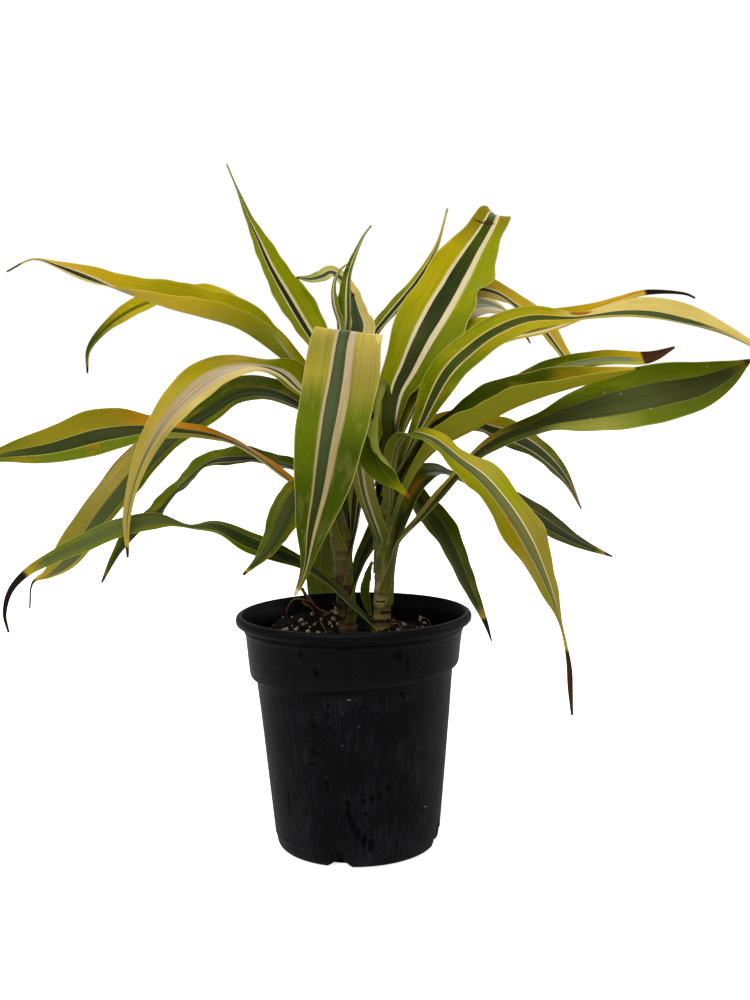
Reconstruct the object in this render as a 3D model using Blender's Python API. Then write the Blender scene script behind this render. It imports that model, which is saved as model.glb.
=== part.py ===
# Potted gold star dracaena: a turned black nursery pot, its soil, two ringed canes
# and the long arching leaves that grow from them.
#
# The frame's origin is the centre of the pot's flat underside. +Z is up, +X is the
# viewer's right and +Y runs away from the viewer. All sizes below are in millimetres.

import math

import bmesh
import bpy
import numpy as np

MM = 0.001
GAP = 0.35  # clearance between neighbouring pieces

# Pot
RIM_RADIUS = 82.5
POT_HEIGHT = 166.0
WALL = 1.6
COLLAR_FOOT = 130.0  # height where the wide collar steps in to the body
BODY_TOP_RADIUS = 68.8
BODY_FOOT_RADIUS = 58.2
BASE_RADIUS = 51.5
FLOOR = 2.4
POT_SIDES = 48
NOTCH_COUNT = 4
NOTCH_WIDTH = 15.0
NOTCH_HEIGHT = 7.0
NOTCH_DEPTH = 14.0
NOTCH_TURN = -103.0  # degrees round the pot of the notch nearest the viewer

# Soil
SOIL_LEVEL = 147.0
SOIL_LUMP = 1.6
SOIL_RISE = 8.0  # how much higher the soil lies at the back left
SOIL_RINGS = (1.0, 0.88, 0.74, 0.58, 0.40, 0.20)

# Canes
CANE_SIDES = 10
CANE_STEP = 5.0
CANE_RADIUS = 6.2
CORE_TIP_RADIUS = 2.6
RING_SPACING = 10.0
RING_RISE = 0.5
BURIED_TO = 112.0

# Leaves
BLADE = 0.7  # thickness
STATIONS = 17
ACROSS = 4
THREAD = 0.7  # half width of the dry thread at a leaf's tip
BASE_CURL = 45.0  # degrees that each half curls round the cane at the base
BLADE_CURL = 12.0  # and further out
OPENS_BY = 0.25  # share of the length where the base has opened

# Each cane: the middle of its stem as (x, y, z), and the height where the leafy core starts.
CANES = {
    "left": dict(
        path=[(-5, 18, BURIED_TO), (-5, 18, 150), (-7, 16, 189), (-9, 14, 224), (-7, 12, 285), (-5, 10, 342)],
        core=228),
    "right": dict(
        path=[(19, 3, BURIED_TO), (19, 3, 151), (21, 3, 180), (22, 3, 203), (24, 4, 250), (28, 5, 298)],
        core=206),
}


def leaf(cane, height, azimuth, path, widths, roll=(0, 0), right=(8, 8), left=(8, 8), wave=1.2, waves=4.0,
         curl=((BLADE_CURL, BLADE_CURL), (BLADE_CURL, BLADE_CURL))):
    """One leaf's design.

    height is where it leaves the cane and azimuth the way it faces, in degrees from +X
    towards +Y. path holds the points that its midrib passes through after the base. The
    lists are spread evenly from base to tip: the azimuth where it changes, widths across
    the blade, roll of the blade about its midrib (right-hand edge down), and how far the
    right and the left half are lifted from flat. wave is the height of its edges' ripples,
    and curl how far the right and the left margin turn up beyond that lift.
    """
    return dict(cane=cane, height=height, azimuth=azimuth, path=path, widths=widths, roll=roll, right=right,
                left=left, wave=wave, waves=waves, curl=curl)


LEAVES = {
    # Long leaf to the upper left, its near half folded up
    "leaf_left_01": leaf(
        "left", 312, 190,
        [(-34, 9, 332), (-74, 4, 363), (-100, -3, 372), (-118, -10, 377), (-135, -13, 383), (-155, -16, 391),
         (-171, -19, 399), (-192, -23, 407), (-208, -25, 411), (-225, -28, 403)],
        widths=(10, 16, 30, 42, 46, 42, 32, 20, 8, 2, 1.4), roll=(-10, -30, -45, -45, -45, -45),
        right=(10, 15, 15, 10, 0), left=(20, 60, 80, 75, 25, 0, 0)),
    # Drooper behind it
    "leaf_left_02": leaf(
        "left", 306, 148,
        [(-35, 29, 348), (-62, 47, 379), (-79, 57, 389), (-97, 68, 394), (-113, 78, 394), (-133, 91, 390),
         (-157, 105, 385), (-178, 118, 376), (-195, 129, 364), (-206, 136, 351), (-208, 138, 334)],
        widths=(9, 12, 17, 20, 20, 20, 20, 17, 10, 2), roll=(0, -20, -35, -60, -75), right=(8, 8),
        left=(8, 8)),
    # Upright sword at the upper left
    "leaf_left_03": leaf(
        "left", 322, 155,
        [(-19, 19, 345), (-27, 24, 357), (-39, 31, 377), (-56, 40, 408), (-64, 45, 427), (-72, 49, 445),
         (-78, 53, 462), (-86, 57, 482)],
        widths=(9, 18, 30, 36, 36, 30, 22, 14, 7, 2, 1.4), roll=(-10, -10, -5), right=(22, 22), left=(6, 4),
        wave=0.6),
    # Back leaf that bends over to the left
    "leaf_left_04": leaf(
        "left", 332, (85, 110, 170, 200),
        [(2, 24, 352), (6, 34, 364), (4, 42, 374), (1, 48, 387), (-5, 52, 398), (-12, 50, 403), (-19, 44, 400),
         (-27, 36, 398), (-36, 28, 399)],
        widths=(12, 20, 26, 26, 24, 20, 18, 15, 12, 7, 1.6), roll=(0, 0, 0, -40, -60),
        wave=0.4),
    # Two young leaves in the middle
    "leaf_left_05": leaf(
        "left", 336, (165, 190, 215),
        [(-7, 19, 364), (-11, 22, 380), (-11, 24, 392), (-8, 25, 401), (-3, 24, 406), (1, 22, 408)],
        widths=(8, 10, 11, 11, 9, 6, 3, 1.6), right=(20, 20), left=(20, 20), wave=0.3),
    "leaf_left_06": leaf(
        "left", 340, 40,
        [(1, 18, 369), (1, 22, 385), (2, 25, 400), (6, 27, 413), (12, 29, 427), (17, 30, 434)],
        widths=(8, 12, 13, 11, 8, 6, 3.5, 1.6), right=(30, 30), left=(30, 30), wave=0.3),
    # From low on the left cane, up behind the broad upright one
    "leaf_left_07": leaf(
        "left", 205, (25, 40, 58, 58),
        [(3, 19, 224), (6, 20, 242), (9, 22, 263), (9, 24, 300), (9, 32, 335), (16, 45, 355), (26, 60, 368),
         (37, 78, 381), (53, 100, 401), (67, 122, 425), (77, 143, 457)],
        widths=(9, 10, 11, 11, 12, 14, 16, 15, 12, 8, 3, 1.6), right=(16, 16), left=(16, 16), wave=0.6),
    # Pale arch to the left that hangs
    "leaf_left_08": leaf(
        "left", 296, 200,
        [(-34, -4, 322), (-45, -9, 333), (-59, -14, 338), (-75, -19, 338), (-92, -26, 333), (-110, -34, 319),
         (-129, -42, 294), (-141, -48, 267), (-147, -52, 240), (-147, -54, 214)],
        widths=(12, 18, 24, 13, 19, 24, 22, 17, 12, 8, 5, 1.6), roll=(-10, -50, -70, -70, -60, -50),
        right=(10, 0, 0), left=(10, 0, 0)),
    # Dark arch behind it to the far left
    "leaf_left_09": leaf(
        "left", 282, 168,
        [(-23, 15, 299), (-41, 19, 313), (-58, 23, 320), (-78, 27, 320), (-98, 32, 310), (-119, 36, 297),
         (-141, 40, 280), (-164, 46, 259), (-188, 51, 232), (-208, 55, 206), (-226, 57, 188), (-238, 58, 181),
         (-242, 61, 161)],
        widths=(12, 20, 26, 28, 28, 28, 30, 32, 32, 28, 18, 2, 1.4), roll=(0, -45, -60, -65, -65),
        right=(5, -4, -4), left=(5, -4, -4)),
    # Wavy leaf to the left
    "leaf_left_10": leaf(
        "left", 244, 148,
        [(-24, 22, 255), (-39, 31, 264), (-58, 43, 269), (-82, 58, 271), (-106, 73, 267), (-127, 86, 251),
         (-150, 101, 228), (-179, 119, 204), (-191, 127, 187), (-202, 133, 168)],
        widths=(10, 14, 16, 20, 22, 22, 20, 17, 11, 2), roll=(0, -30, -45, -60, -75), right=(8, 8), left=(8, 8),
        wave=1.6, waves=6),
    # Orange to green, far left
    "leaf_left_11": leaf(
        "left", 229, 184,
        [(-22, 10, 240), (-38, 9, 253), (-58, 8, 270), (-77, 6, 283), (-97, 5, 291), (-118, 3, 295),
         (-142, 2, 297), (-173, -1, 295), (-207, -3, 286), (-241, -5, 280), (-272, -7, 270)],
        widths=(10, 12, 12, 12, 13, 22, 32, 33, 24, 9, 1.4), roll=(0, -20, -30, -60, -62, -62),
        right=(5, -5, -5), left=(5, -5, -5)),
    # Short broad drooper under the left crown
    "leaf_left_12": leaf(
        "left", 236, 222,
        [(-24, -4, 248), (-31, -10, 253), (-38, -16, 247), (-44, -22, 236), (-51, -29, 222), (-60, -36, 210),
         (-72, -47, 200)],
        widths=(12, 20, 26, 27, 24, 17, 8, 2), roll=(0, -20, -20), wave=1.0),
    # Drooper behind the pot
    "leaf_left_13": leaf(
        "left", 240, 104,
        [(-8, 40, 264), (-9, 70, 270), (-14, 100, 245), (-20, 118, 200), (-24, 126, 150), (-26, 128, 95)],
        widths=(10, 20, 32, 38, 38, 36, 30, 16, 2)),
    # Broad upright leaf with its tip folded over
    "leaf_right_01": leaf(
        "right", 290, 52,
        [(31, 12, 306), (33, 16, 319), (37, 21, 334), (44, 28, 354), (54, 38, 370), (65, 50, 386), (76, 63, 401),
         (87, 78, 417), (97, 91, 432), (103, 100, 442), (106, 106, 447.5), (108, 112, 448), (109, 119, 443)],
        widths=(12, 24, 36, 44, 48, 50, 50, 48, 44, 38, 32, 27, 20), roll=(0, 15, 25, 25, 25), right=(8, 6),
        left=(8, 6), wave=1.8, waves=3.4),
    # Broad front leaf, folded over at the top
    "leaf_right_02": leaf(
        "right", 214, 250,
        [(14, -6, 234), (9, -9, 252), (4, -16, 300), (2, -24, 337), (2, -34, 356), (1, -44, 360), (-1, -54, 353),
         (-6, -66, 322), (-12, -76, 292), (-18, -84, 259), (-24, -88, 234), (-28, -88, 212), (-32, -86, 200),
         (-36, -84, 192)],
        widths=(12, 12, 13, 14, 18, 30, 43, 47, 50, 53, 47, 37, 25, 9, 2), roll=(0, 0, -4, -8, -8, -4, 0, 0),
        right=(6, -5, -8, -6, 0), left=(6, -5, -8, -6, 0)),
    # Small leaf beside it whose margin curls over
    "leaf_right_03": leaf(
        "right", 276, 280,
        [(25, -12, 304), (25, -26, 322), (20, -36, 318), (14, -41, 306), (11, -44, 293), (13, -45, 281),
         (20, -46, 270), (28, -46, 260), (39, -46, 250)],
        widths=(8, 8, 9, 14, 20, 24, 26, 28, 24, 9, 2), right=(20, 10, 0), left=(20, 10, 0),
        curl=((12, 12), (12, 30, 120, 150, 120, 40))),
    # Long front arch to the right, pale past its twist
    "leaf_right_04": leaf(
        "right", 256, -8,
        [(36, -1, 269), (48, -6, 294), (67, -7, 331), (84, -5, 347), (100, -8, 358), (122, -11, 366),
         (152, -15, 366), (178, -18, 368), (200, -21, 367), (234, -26, 359), (252, -29, 353), (267, -30, 346),
         (296, -35, 332)],
        widths=(8, 12, 22, 28, 28, 26, 22, 15, 9, 21, 29, 26, 14, 6, 1.6), roll=(10, 40, 60, 60, 55, 60, 60, 60),
        right=(0, 0, 0, 10, 45, 55, 50), left=(0, 0)),
    # Lime leaf behind it with a dead black tip
    "leaf_right_05": leaf(
        "right", 268, 12,
        [(35, 5, 286), (46, 10, 312), (65, 19, 346), (80, 21, 354), (106, 24, 359), (138, 29, 365), (168, 36, 372),
         (194, 41, 380), (212, 45, 385), (242, 51, 384), (250, 53, 381)],
        widths=(6, 7, 13, 22, 25, 25, 22, 18, 12, 8, 5, 3, 1.6), roll=(0, 40, 60, 65, 65), right=(4, 4),
        left=(4, 4)),
    # Yellow arch at the back
    "leaf_right_06": leaf(
        "right", 282, 50,
        [(33, 19, 300), (40, 33, 326), (55, 56, 364), (73, 70, 386), (92, 80, 391), (110, 90, 388),
         (125, 100, 379), (139, 112, 369), (152, 124, 357), (165, 137, 342), (189, 159, 315)],
        widths=(6, 8, 14, 17, 18, 20, 26, 32, 34, 20, 2), roll=(0, 10, 40, 60, 65)),
    # Pale leaf behind that
    "leaf_right_07": leaf(
        "right", 274, 78,
        [(33, 26, 300), (42, 46, 333), (62, 65, 361), (83, 97, 378), (106, 133, 382), (128, 166, 374),
         (146, 190, 352)],
        widths=(6, 11, 24, 32, 34, 32, 24, 14, 2), roll=(0, 20, 40, 45)),
    # Leaf with a brown triangular tip
    "leaf_right_08": leaf(
        "right", 242, 18,
        [(43, 12, 268), (63, 20, 289), (92, 28, 309), (118, 35, 320), (144, 43, 331), (164, 50, 336),
         (189, 58, 339), (214, 66, 338), (225, 70, 340), (240, 74, 346)],
        widths=(9, 9, 9, 10, 14, 16, 16, 15, 14, 12, 10, 1.6), roll=(0, 40, 55, 60), right=(5, 5), left=(5, 5)),
    # Lime trough-shaped leaf
    "leaf_right_09": leaf(
        "right", 226, -10,
        [(46, -1, 264), (63, -4, 281), (71, -6, 285), (89, -9, 294), (109, -12, 305), (129, -16, 313),
         (149, -19, 319), (168, -22, 324), (189, -26, 330), (195, -27, 332)],
        widths=(9, 10, 19, 36, 46, 46, 40, 30, 18, 2), roll=(0, 15, 20, 20), right=(20, 50, 50, 45, 40),
        left=(20, 50, 55, 55, 40)),
    # Big dark leaf to the right
    "leaf_right_10": leaf(
        "right", 200, -4,
        [(32, 1, 212), (49, 0, 231), (71, -1, 257), (88, -3, 275), (106, -4, 286), (122, -5, 292), (144, -6, 300),
         (178, -9, 308), (212, -11, 315), (238, -13, 320), (258, -14, 328), (272, -15, 336)],
        widths=(10, 11, 11, 11, 12, 13, 14, 18, 29, 38, 44, 44, 38, 24, 2), roll=(0, 20, 40, 55, 65, 62, 60),
        right=(5, -4, -4), left=(5, -4, -4)),
    # Orange-topped leaf behind it
    "leaf_right_11": leaf(
        "right", 234, 40,
        [(46, 22, 277), (63, 33, 292), (86, 46, 293), (103, 55, 287), (122, 65, 280), (136, 74, 272), (150, 82, 260),
         (161, 89, 247), (174, 97, 224)],
        widths=(9, 9, 13, 20, 26, 28, 28, 23, 14, 2), roll=(0, 30, 60, 65)),
    # Low leaf behind the front right one
    "leaf_right_12": leaf(
        "right", 192, 38,
        [(30, 15, 211), (36, 21, 230), (40, 27, 243), (46, 33, 252), (54, 39, 258), (66, 46, 258), (78, 53, 252),
         (99, 67, 241), (126, 86, 227), (149, 101, 211), (175, 121, 195), (206, 145, 180)],
        widths=(9, 12, 17, 21, 24, 27, 28, 28, 25, 17, 8, 1.6), roll=(0, 20, 55, 60)),
    # Long wavy leaf to the front right
    "leaf_right_13": leaf(
        "right", 232, 306,
        [(28, -11, 262), (32, -14, 282), (39, -19, 290), (54, -32, 287), (70, -46, 274), (86, -58, 261),
         (101, -69, 242), (112, -78, 223), (124, -86, 197), (132, -90, 174), (137, -94, 149), (138, -95, 130),
         (139, -96, 114)],
        widths=(10, 12, 14, 16, 18, 23, 28, 30, 31, 27, 14, 4, 3, 1.8), roll=(0, 10, 15), right=(10, 8),
        left=(10, 8), wave=1.6, waves=6),
    # Drooper at the right of the pot, which grows from low on the left cane and passes behind the right one
    "leaf_right_14": leaf(
        "left", 178, 22,
        [(4, 24, 190), (8, 28, 200), (14, 32, 211), (23, 37, 226), (33, 40, 238), (42, 39, 243), (51, 32, 234),
         (62, 20, 218), (71, 8, 201), (81, -5, 178), (86, -10, 168), (91, -14, 157), (95, -16, 146)],
        widths=(10, 14, 17, 18, 19, 21, 24, 25, 22, 18, 13, 8, 4, 1.6), roll=(0, 35, 60, 60, 55), wave=0.8),
    # Low leaf from the right cane's foot to the far left
    "leaf_right_15": leaf(
        "right", 153, 196,
        [(-1, -6, 170), (-19, -10, 190), (-39, -15, 204), (-69, -23, 218), (-91, -29, 230), (-107, -34, 231),
         (-127, -39, 236), (-153, -47, 233), (-175, -53, 224), (-194, -58, 216), (-211, -63, 207), (-222, -66, 195),
         (-226, -67, 180), (-224, -67, 168)],
        widths=(8, 10, 12, 15, 18, 19, 14, 4, 12, 15, 15, 10, 6, 4, 1.6), roll=(0, -40, -50, -50), right=(0, 0),
        left=(0, 0)),
    # Small dark leaf that hangs beside the right cane
    "leaf_right_16": leaf(
        "right", 200, (190, 240, 262),
        [(11, 2, 190), (8.5, 2, 180), (9.5, 2, 171), (12, 1, 162)],
        widths=(6, 8, 8, 7, 5, 2), wave=0.3),
    # Back leaf hidden by the crown
    "leaf_right_17": leaf(
        "right", 262, 96,
        [(26, 22, 285), (27, 45, 308), (28, 80, 318), (30, 120, 306), (33, 150, 282), (34, 165, 262)],
        widths=(8, 16, 28, 36, 38, 34, 26, 14, 2)),
}

# Colours as (red, green, blue), and roughness
COLOURS = {
    "leaf": ((0.30, 0.36, 0.05), 0.45),
    "cane": ((0.30, 0.25, 0.10), 0.65),
    "soil": ((0.02, 0.015, 0.01), 0.95),
    "pot": ((0.012, 0.012, 0.013), 0.5),
}


def clear_scene():
    for old in list(bpy.data.objects):
        bpy.data.objects.remove(old, do_unlink=True)


def material(name):
    colour, roughness = COLOURS[name.split("_")[0]]
    made = bpy.data.materials.new(name)
    made.use_nodes = True
    shader = made.node_tree.nodes["Principled BSDF"]
    shader.inputs["Base Color"].default_value = (*colour, 1.0)
    shader.inputs["Roughness"].default_value = roughness
    shader.inputs["Metallic"].default_value = 0.0
    return made


def add_object(name, points, faces, kind):
    """An object from points in millimetres, smooth apart from its sharp edges."""
    mesh = bpy.data.meshes.new(name)
    mesh.from_pydata([tuple(float(c) * MM for c in p) for p in points], [], faces)
    mesh.shade_smooth()
    mesh.set_sharp_from_angle(angle=math.radians(35))
    made = bpy.data.objects.new(name, mesh)
    made.data.materials.append(material(kind))
    bpy.context.collection.objects.link(made)
    return made


def turned(profile, sides):
    """Points and faces of a solid turned about Z. The profile starts and ends on the axis."""
    points = [(0.0, 0.0, profile[0][1])]
    for radius, height in profile[1:-1]:
        for k in range(sides):
            angle = 2 * math.pi * k / sides
            points.append((radius * math.cos(angle), radius * math.sin(angle), height))
    points.append((0.0, 0.0, profile[-1][1]))
    rings = len(profile) - 2
    last = len(points) - 1
    faces = []
    for k in range(sides):
        after = (k + 1) % sides
        faces.append((0, 1 + after, 1 + k))
        faces.append((last, last - sides + k, last - sides + after))
        for ring in range(rings - 1):
            low = 1 + ring * sides
            faces.append((low + k, low + after, low + sides + after, low + sides + k))
    return points, faces


def subtract(target, cutter):
    """Cuts one object with another and removes the cutter."""
    cut = target.modifiers.new("cut", "BOOLEAN")
    cut.operation = "DIFFERENCE"
    cut.object = cutter
    cut.solver = "EXACT"
    bpy.context.view_layer.update()
    graph = bpy.context.evaluated_depsgraph_get()
    result = bpy.data.meshes.new_from_object(target.evaluated_get(graph))
    target.modifiers.remove(cut)
    target.data = result
    bpy.data.objects.remove(cutter, do_unlink=True)


def inner_wall():
    """The pot's inside as (radius, height), from the floor up to the lip."""
    return [
        (BASE_RADIUS - 1.5, FLOOR),
        (BODY_FOOT_RADIUS - 3.6, FLOOR + 3.2),
        (BODY_FOOT_RADIUS - WALL, 12.0),
        (BODY_TOP_RADIUS - WALL, COLLAR_FOOT - 6.0),
        (BODY_TOP_RADIUS - WALL + 0.7, COLLAR_FOOT - 2.0),
        (73.2 - WALL, COLLAR_FOOT + 2.4),
        (75.8 - WALL, POT_HEIGHT - 10.0),
        (76.8, POT_HEIGHT - 3.5),
    ]


def outer_wall():
    """The pot's outside as (radius, height), from the base up to the lip."""
    return [
        (BASE_RADIUS, 0.0),
        (BASE_RADIUS + 2.4, 0.9),
        (BODY_FOOT_RADIUS - 2.2, 2.9),
        (BODY_FOOT_RADIUS - 1.1, 6.2),
        (BODY_FOOT_RADIUS - 0.6, 10.2),
        (BODY_FOOT_RADIUS + 0.1, 11.0),
        (BODY_TOP_RADIUS, COLLAR_FOOT - 6.0),
        (BODY_TOP_RADIUS + 0.4, COLLAR_FOOT - 5.6),
        (BODY_TOP_RADIUS + 2.0, COLLAR_FOOT - 4.8),
        (72.6, COLLAR_FOOT - 3.4),
        (73.3, COLLAR_FOOT - 1.4),
        (73.6, COLLAR_FOOT + 1.0),
        (75.8, POT_HEIGHT - 13.0),
        (76.8, POT_HEIGHT - 11.8),
        (76.9, POT_HEIGHT - 10.4),
        (76.4, POT_HEIGHT - 9.2),
        (77.0, POT_HEIGHT - 7.8),
        (RIM_RADIUS - 1.6, POT_HEIGHT - 7.2),
        (RIM_RADIUS - 0.2, POT_HEIGHT - 5.6),
        (RIM_RADIUS, POT_HEIGHT - 3.2),
        (RIM_RADIUS - 0.8, POT_HEIGHT - 1.2),
        (RIM_RADIUS - 2.6, POT_HEIGHT - 0.1),
        (RIM_RADIUS - 4.2, POT_HEIGHT - 0.3),
    ]


def make_pot():
    profile = [(0.0, 0.0)] + outer_wall() + inner_wall()[::-1] + [(0.0, FLOOR)]
    points, faces = turned(profile, POT_SIDES)
    pot = add_object("pot", points, faces, "pot")
    for k in range(NOTCH_COUNT):
        subtract(pot, notch_cutter(math.radians(NOTCH_TURN + 360.0 * k / NOTCH_COUNT)))
    return pot


def notch_cutter(angle):
    """A round-topped wedge that cuts a drain notch into the pot's foot."""
    outline = [(-0.5, -2.0), (-0.5, 0.0), (-0.32, 0.28), (-0.14, 0.9), (0.0, 1.0), (0.14, 0.9), (0.32, 0.28),
               (0.5, 0.0), (0.5, -2.0)]
    near = BODY_FOOT_RADIUS - NOTCH_DEPTH
    far = BODY_FOOT_RADIUS + 8.0
    points = []
    for reach in (near, far):
        for across, up in outline:
            side = across * NOTCH_WIDTH
            height = max(up, -0.4) * NOTCH_HEIGHT
            points.append((reach * math.cos(angle) - side * math.sin(angle),
                           reach * math.sin(angle) + side * math.cos(angle), height))
    count = len(outline)
    faces = [tuple(range(count)), tuple(range(2 * count - 1, count - 1, -1))]
    for k in range(count):
        after = (k + 1) % count
        faces.append((k, count + k, count + after, after))
    return add_object("notch_cutter", points, faces, "pot_cutter")


def eased(share):
    """A smooth step from 0 to 1."""
    share = min(1.0, max(0.0, share))
    return share * share * (3.0 - 2.0 * share)


def soil_height(x, y):
    """The lumpy top of the soil, from a few crossing ripples."""
    lumps = (math.sin(0.21 * x + 0.6) * math.cos(0.17 * y - 0.4)
             + 0.6 * math.sin(0.41 * x - 0.33 * y + 1.3)
             + 0.4 * math.cos(0.55 * y + 0.12 * x + 2.1))
    heap = SOIL_RISE * eased((y - 12.0) / 36.0) * eased((30.0 - x) / 44.0)
    return SOIL_LEVEL + SOIL_LUMP * 0.5 * lumps + heap


def make_soil():
    side = [(radius - GAP, height + GAP) for radius, height in inner_wall()[:6]]
    low, high = inner_wall()[5], inner_wall()[6]
    share = (SOIL_LEVEL - 2.5 - low[1]) / (high[1] - low[1])
    edge = low[0] + (high[0] - low[0]) * share - GAP
    rings = [(edge, SOIL_LEVEL - 2.5)] + [(edge * ring - 0.2, SOIL_LEVEL) for ring in SOIL_RINGS]
    profile = [(0.0, FLOOR + GAP)] + side + rings + [(0.0, SOIL_LEVEL)]
    points, faces = turned(profile, POT_SIDES)
    top = 1 + (len(side) + 1) * POT_SIDES
    points[top:] = [(x, y, soil_height(x, y)) for x, y, _ in points[top:]]
    soil = add_object("soil", points, faces, "soil")
    for name in CANES:
        subtract(soil, hole_cutter(name))
    return soil


def hole_cutter(name):
    """The plain hole that a cane stands in."""
    x, y, z = CANES[name]["path"][0]
    radius = CANE_RADIUS + RING_RISE + GAP
    profile = [(0.0, z - GAP), (radius, z - GAP), (radius, POT_HEIGHT), (0.0, POT_HEIGHT)]
    points, faces = turned(profile, 16)
    return add_object("hole_cutter", [(px + x, py + y, pz) for px, py, pz in points], faces, "soil_cutter")


def smooth_through(points, count):
    """Points spread along a smooth curve through the given ones, closer where those are closer."""
    points = np.asarray(points, float)
    knots = np.concatenate([[0.0], np.cumsum(np.sqrt(np.linalg.norm(np.diff(points, axis=0), axis=1)))])
    slopes = np.gradient(points, knots, axis=0)
    places = np.linspace(0.0, knots[-1], count)
    k = np.clip(np.searchsorted(knots, places, side="right") - 1, 0, len(points) - 2)
    span = (knots[k + 1] - knots[k])[:, None]
    t = (places - knots[k])[:, None] / span
    return ((2 * t ** 3 - 3 * t ** 2 + 1) * points[k] + (t ** 3 - 2 * t ** 2 + t) * span * slopes[k]
            + (3 * t ** 2 - 2 * t ** 3) * points[k + 1] + (t ** 3 - t ** 2) * span * slopes[k + 1])


def cane_middle(name, height):
    """The cane's middle at a height."""
    path = np.asarray(CANES[name]["path"], float)
    return np.array([np.interp(height, path[:, 2], path[:, k]) for k in range(3)])


def cane_radius(name, height):
    """The cane's radius at a height: rings up to the core, then a taper to its tip."""
    core = CANES[name]["core"]
    top = CANES[name]["path"][-1][2]
    if height > core:
        return CANE_RADIUS + (CORE_TIP_RADIUS - CANE_RADIUS) * (height - core) / (top - core)
    step = (height % RING_SPACING) / RING_SPACING
    return CANE_RADIUS + RING_RISE * max(0.0, 1.0 - 4.0 * min(step, 1.0 - step))


def make_cane(name):
    bottom = CANES[name]["path"][0][2]
    top = CANES[name]["path"][-1][2]
    heights = np.arange(bottom, top + 0.01, CANE_STEP / 2)
    heights = [h for h in heights if h <= 150 or h % RING_SPACING in (0.0, 2.5, 7.5) or h > CANES[name]["core"]]
    points = []
    for height in heights:
        middle = cane_middle(name, height)
        radius = cane_radius(name, height)
        for k in range(CANE_SIDES):
            angle = 2 * math.pi * k / CANE_SIDES
            points.append((middle[0] + radius * math.cos(angle), middle[1] + radius * math.sin(angle), height))
    faces = [tuple(range(CANE_SIDES - 1, -1, -1)), tuple(range(len(points) - CANE_SIDES, len(points)))]
    for ring in range(len(heights) - 1):
        low = ring * CANE_SIDES
        for k in range(CANE_SIDES):
            after = (k + 1) % CANE_SIDES
            faces.append((low + k, low + after, low + CANE_SIDES + after, low + CANE_SIDES + k))
    return add_object("stem_" + name, points, faces, "cane_" + name)


def unit(vectors):
    return vectors / np.linalg.norm(vectors, axis=-1, keepdims=True)


def facings(design):
    """The ways the blade faces, spread evenly from base to tip."""
    given = design["azimuth"]
    return given if isinstance(given, tuple) else (given, given)


def rib_of(design):
    """The midrib's points from the cane's surface to the tip."""
    turn = math.radians(facings(design)[0])
    away = np.array([math.cos(turn), math.sin(turn), 0.0])
    reach = cane_radius(design["cane"], design["height"]) + RING_RISE + BLADE / 2 + GAP
    base = cane_middle(design["cane"], design["height"]) + away * reach
    return smooth_through([base] + design["path"], STATIONS)


def spread(values, along):
    """Values given evenly from base to tip, read smoothly at each station."""
    values = np.asarray(values, float)
    places = np.clip(along, 0.0, 1.0) * (len(values) - 1)
    k = np.minimum(places.astype(int), len(values) - 2)
    t = places - k
    slopes = np.gradient(values)
    return ((2 * t ** 3 - 3 * t ** 2 + 1) * values[k] + (t ** 3 - 2 * t ** 2 + t) * slopes[k]
            + (3 * t ** 2 - 2 * t ** 3) * values[k + 1] + (t ** 3 - t ** 2) * slopes[k + 1])


def blade_sides(design, along, tangent):
    """The flat blade's right-hand direction at each station, before it rolls."""
    turn = np.radians(spread(facings(design), along))
    side = np.stack([np.sin(turn), -np.cos(turn), np.zeros(len(turn))], axis=1)
    return unit(side - tangent * (side * tangent).sum(axis=1)[:, None])


def blade_surface(design, index):
    """The leaf's middle surface as a grid of points, station by station."""
    rib = rib_of(design)
    lengths = np.concatenate([[0.0], np.cumsum(np.linalg.norm(np.diff(rib, axis=0), axis=1))])
    along = lengths / lengths[-1]
    tangent = unit(np.gradient(rib, axis=0))
    side = blade_sides(design, along, tangent)
    face = np.cross(side, tangent)
    roll = np.radians(spread(design["roll"], along))[:, None]
    right = side * np.cos(roll) - face * np.sin(roll)
    up = side * np.sin(roll) + face * np.cos(roll)
    half = np.maximum(spread(design["widths"], along) / 2, THREAD)
    opening = np.clip(along / OPENS_BY, 0.0, 1.0)
    curls = [np.radians(BASE_CURL + (spread(turned_up, along) - BASE_CURL) * opening)
             for turned_up in design["curl"]]
    calm = np.sin(math.pi * np.clip(along / 0.95, 0.0, 1.0))
    grid = np.zeros((len(rib), ACROSS + 1, 3))
    for j in range(ACROSS + 1):
        share = 2.0 * j / ACROSS - 1.0
        hand = 1.0 if share > 0 else -1.0
        lift = np.radians(spread(design["right" if share > 0 else "left"], along)) * opening
        curl = curls[0 if share > 0 else 1]
        bend = lift + curl * abs(share)
        out = half * (np.sin(bend) - np.sin(lift)) / curl
        rise = half * (np.cos(lift) - np.cos(bend)) / curl
        phase = 0.37 * index + (0.0 if share > 0 else 0.4)
        ripple = design["wave"] * share ** 2 * calm * np.sin(2 * math.pi * (design["waves"] * along + phase))
        grid[:, j] = rib + right * (hand * out)[:, None] + up * (rise + ripple)[:, None]
    return grid


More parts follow.
